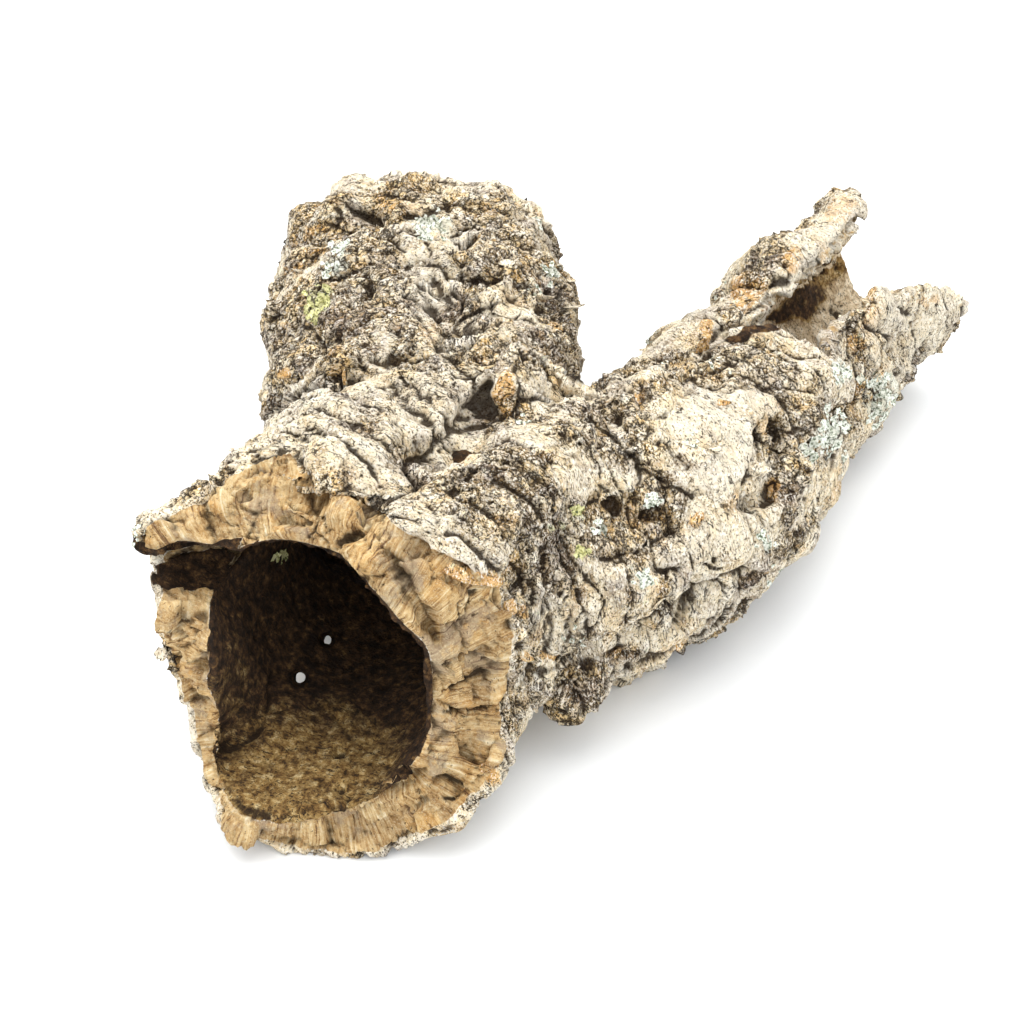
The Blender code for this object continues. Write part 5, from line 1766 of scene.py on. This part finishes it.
class CORK_OT_flakes(bpy.types.Operator):
    """Add loose flakes of bark"""

    bl_idname = "cork.flakes"
    bl_label = "Flakes"

    def execute(self, context):
        settings = context.scene.cork_loose
        dice = np.random.default_rng(settings.seed + 1)
        tree = surface_tree()
        parts, tints = [], []
        right, up = [Vector(way) for way in camera_axes()[2:]]
        for chip in CHIPS:
            spot = spot_at(tree, chip.x, chip.y)
            if spot:
                place, normal = spot
                turn = math.radians(chip.turn)
                way = right * math.cos(turn) + up * math.sin(turn)
                way = (way - normal * way.dot(normal)).normalized()
                size = (chip.length * MM, chip.width * MM, CHIP_THICKNESS * MM)
                parts.append(flake(place, normal, way, *size, chip.curl, dice))
                # The third tint is the crest highlight: each chip is painted lighter, a painted highlight.
                tints += [(chip.ochre, 0.0, 0.3)] * len(parts[-1][0])
        for place in face_spots(dice, SCATTERED_FLAKES):
            spot, normal = nearest_face(tree, place)
            way = Vector(dice.normal(size=3))
            way = (way - normal * way.dot(normal)).normalized()
            length = settings.flake_length * dice.uniform(0.5, 1.5)
            size = (length, length * dice.uniform(0.5, 1.0), FLAKE_THICKNESS * MM)
            parts.append(flake(spot, normal, way, *size, dice.uniform(0.05, 0.5), dice))
            # Every flake is painted lighter by the crest highlight too.
            tints += [(0.0, 0.0, 0.3)] * len(parts[-1][0])
        piece = joined("bark_flakes", parts, cork("cork_flakes_weathered", 0.3))
        corners = np.array([vert.co for vert in piece.data.vertices]) / MM
        for field, values in (("flow", corners), ("tints", np.array(tints))):
            layer = piece.data.attributes.new(field, "FLOAT_VECTOR", "POINT")
            layer.data.foreach_set("vector", values.ravel())
        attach(piece, "root")
        return {"FINISHED"}


# The stage, in metres, and the colours of its light: a warm disc overhead and cool light from all round.
FLOOR_SIDE = 8.0
KEY_WIDTH = 1.8
KEY_PLACE = (-0.25, 0.05, 1.5)
KEY_AIM = (0, 0, 0.05)
KEY_COLOUR = (1.0, 0.98, 0.93)
EVEN_COLOUR = (0.95, 0.975, 1.0, 1.0)


class CORK_OT_stage(bpy.types.Operator):
    """Set up the floor, the light and the camera"""

    bl_idname = "cork.stage"
    bl_label = "Stage"

    def execute(self, context):
        settings = context.scene.cork_stage
        scene = context.scene
        bpy.ops.mesh.primitive_plane_add(size=FLOOR_SIDE, location=(0, 0, 0))
        floor = context.object
        floor.name = "floor"
        floor.data.materials.append(card(settings.floor_colour))
        light = bpy.data.lights.new("key", "AREA")
        light.shape = "DISK"
        light.size = KEY_WIDTH
        light.energy = settings.key_power
        light.color = KEY_COLOUR
        lamp = bpy.data.objects.new("key", light)
        lamp.location = Vector(KEY_PLACE)
        lamp.rotation_euler = (Vector(KEY_AIM) - lamp.location).to_track_quat("-Z", "Y").to_euler()
        scene.collection.objects.link(lamp)
        scene.world = bpy.data.worlds.new("even_light")
        scene.world.use_nodes = True
        sky = scene.world.node_tree.nodes["Background"]
        sky.inputs["Color"].default_value = EVEN_COLOUR
        sky.inputs["Strength"].default_value = settings.fill
        scene.view_settings.view_transform = "Standard"
        eye, back = camera_axes()[:2]
        lens = bpy.data.cameras.new("camera")
        lens.angle = math.radians(ANGLE_OF_VIEW)
        camera = bpy.data.objects.new("camera", lens)
        camera.location = Vector((eye + CENTRING) * MM)
        camera.rotation_euler = Vector(back).to_track_quat("Z", "Y").to_euler()
        scene.collection.objects.link(camera)
        scene.camera = camera
        return {"FINISHED"}


class CORK_PT_panel(bpy.types.Panel):
    bl_label = "Cork Branch"
    bl_idname = "CORK_PT_panel"
    bl_space_type = "VIEW_3D"
    bl_region_type = "UI"
    bl_category = "Cork Branch"

    def draw(self, context):
        layout = self.layout
        scene = context.scene
        for group, names, operators in (
            (scene.cork_bark, ("mesh_size", "relief", "bump"), ("cork.bark",)),
            (scene.cork_loose, ("seed", "flake_length"), ("cork.lichen", "cork.flakes")),
            (scene.cork_stage, ("floor_colour", "key_power", "fill"), ("cork.stage",)),
        ):
            box = layout.box()
            for name in names:
                box.prop(group, name)
            for operator in operators:
                box.operator(operator)


GROUPS = {"cork_bark": BarkSettings, "cork_loose": LooseSettings, "cork_stage": StageSettings}
CLASSES = (CORK_OT_bark, CORK_OT_lichen, CORK_OT_flakes, CORK_OT_stage, CORK_PT_panel)


def register():
    for name, group in GROUPS.items():
        bpy.utils.register_class(group)
        setattr(bpy.types.Scene, name, PointerProperty(type=group))
    for cls in CLASSES:
        bpy.utils.register_class(cls)


def unregister():
    for cls in reversed(CLASSES):
        bpy.utils.unregister_class(cls)
    for name, group in GROUPS.items():
        delattr(bpy.types.Scene, name)
        bpy.utils.unregister_class(group)


def main():
    register()
    bpy.ops.cork.bark()
    bpy.ops.cork.lichen()
    bpy.ops.cork.flakes()
    bpy.ops.cork.stage()


if __name__ == "__main__":
    main()
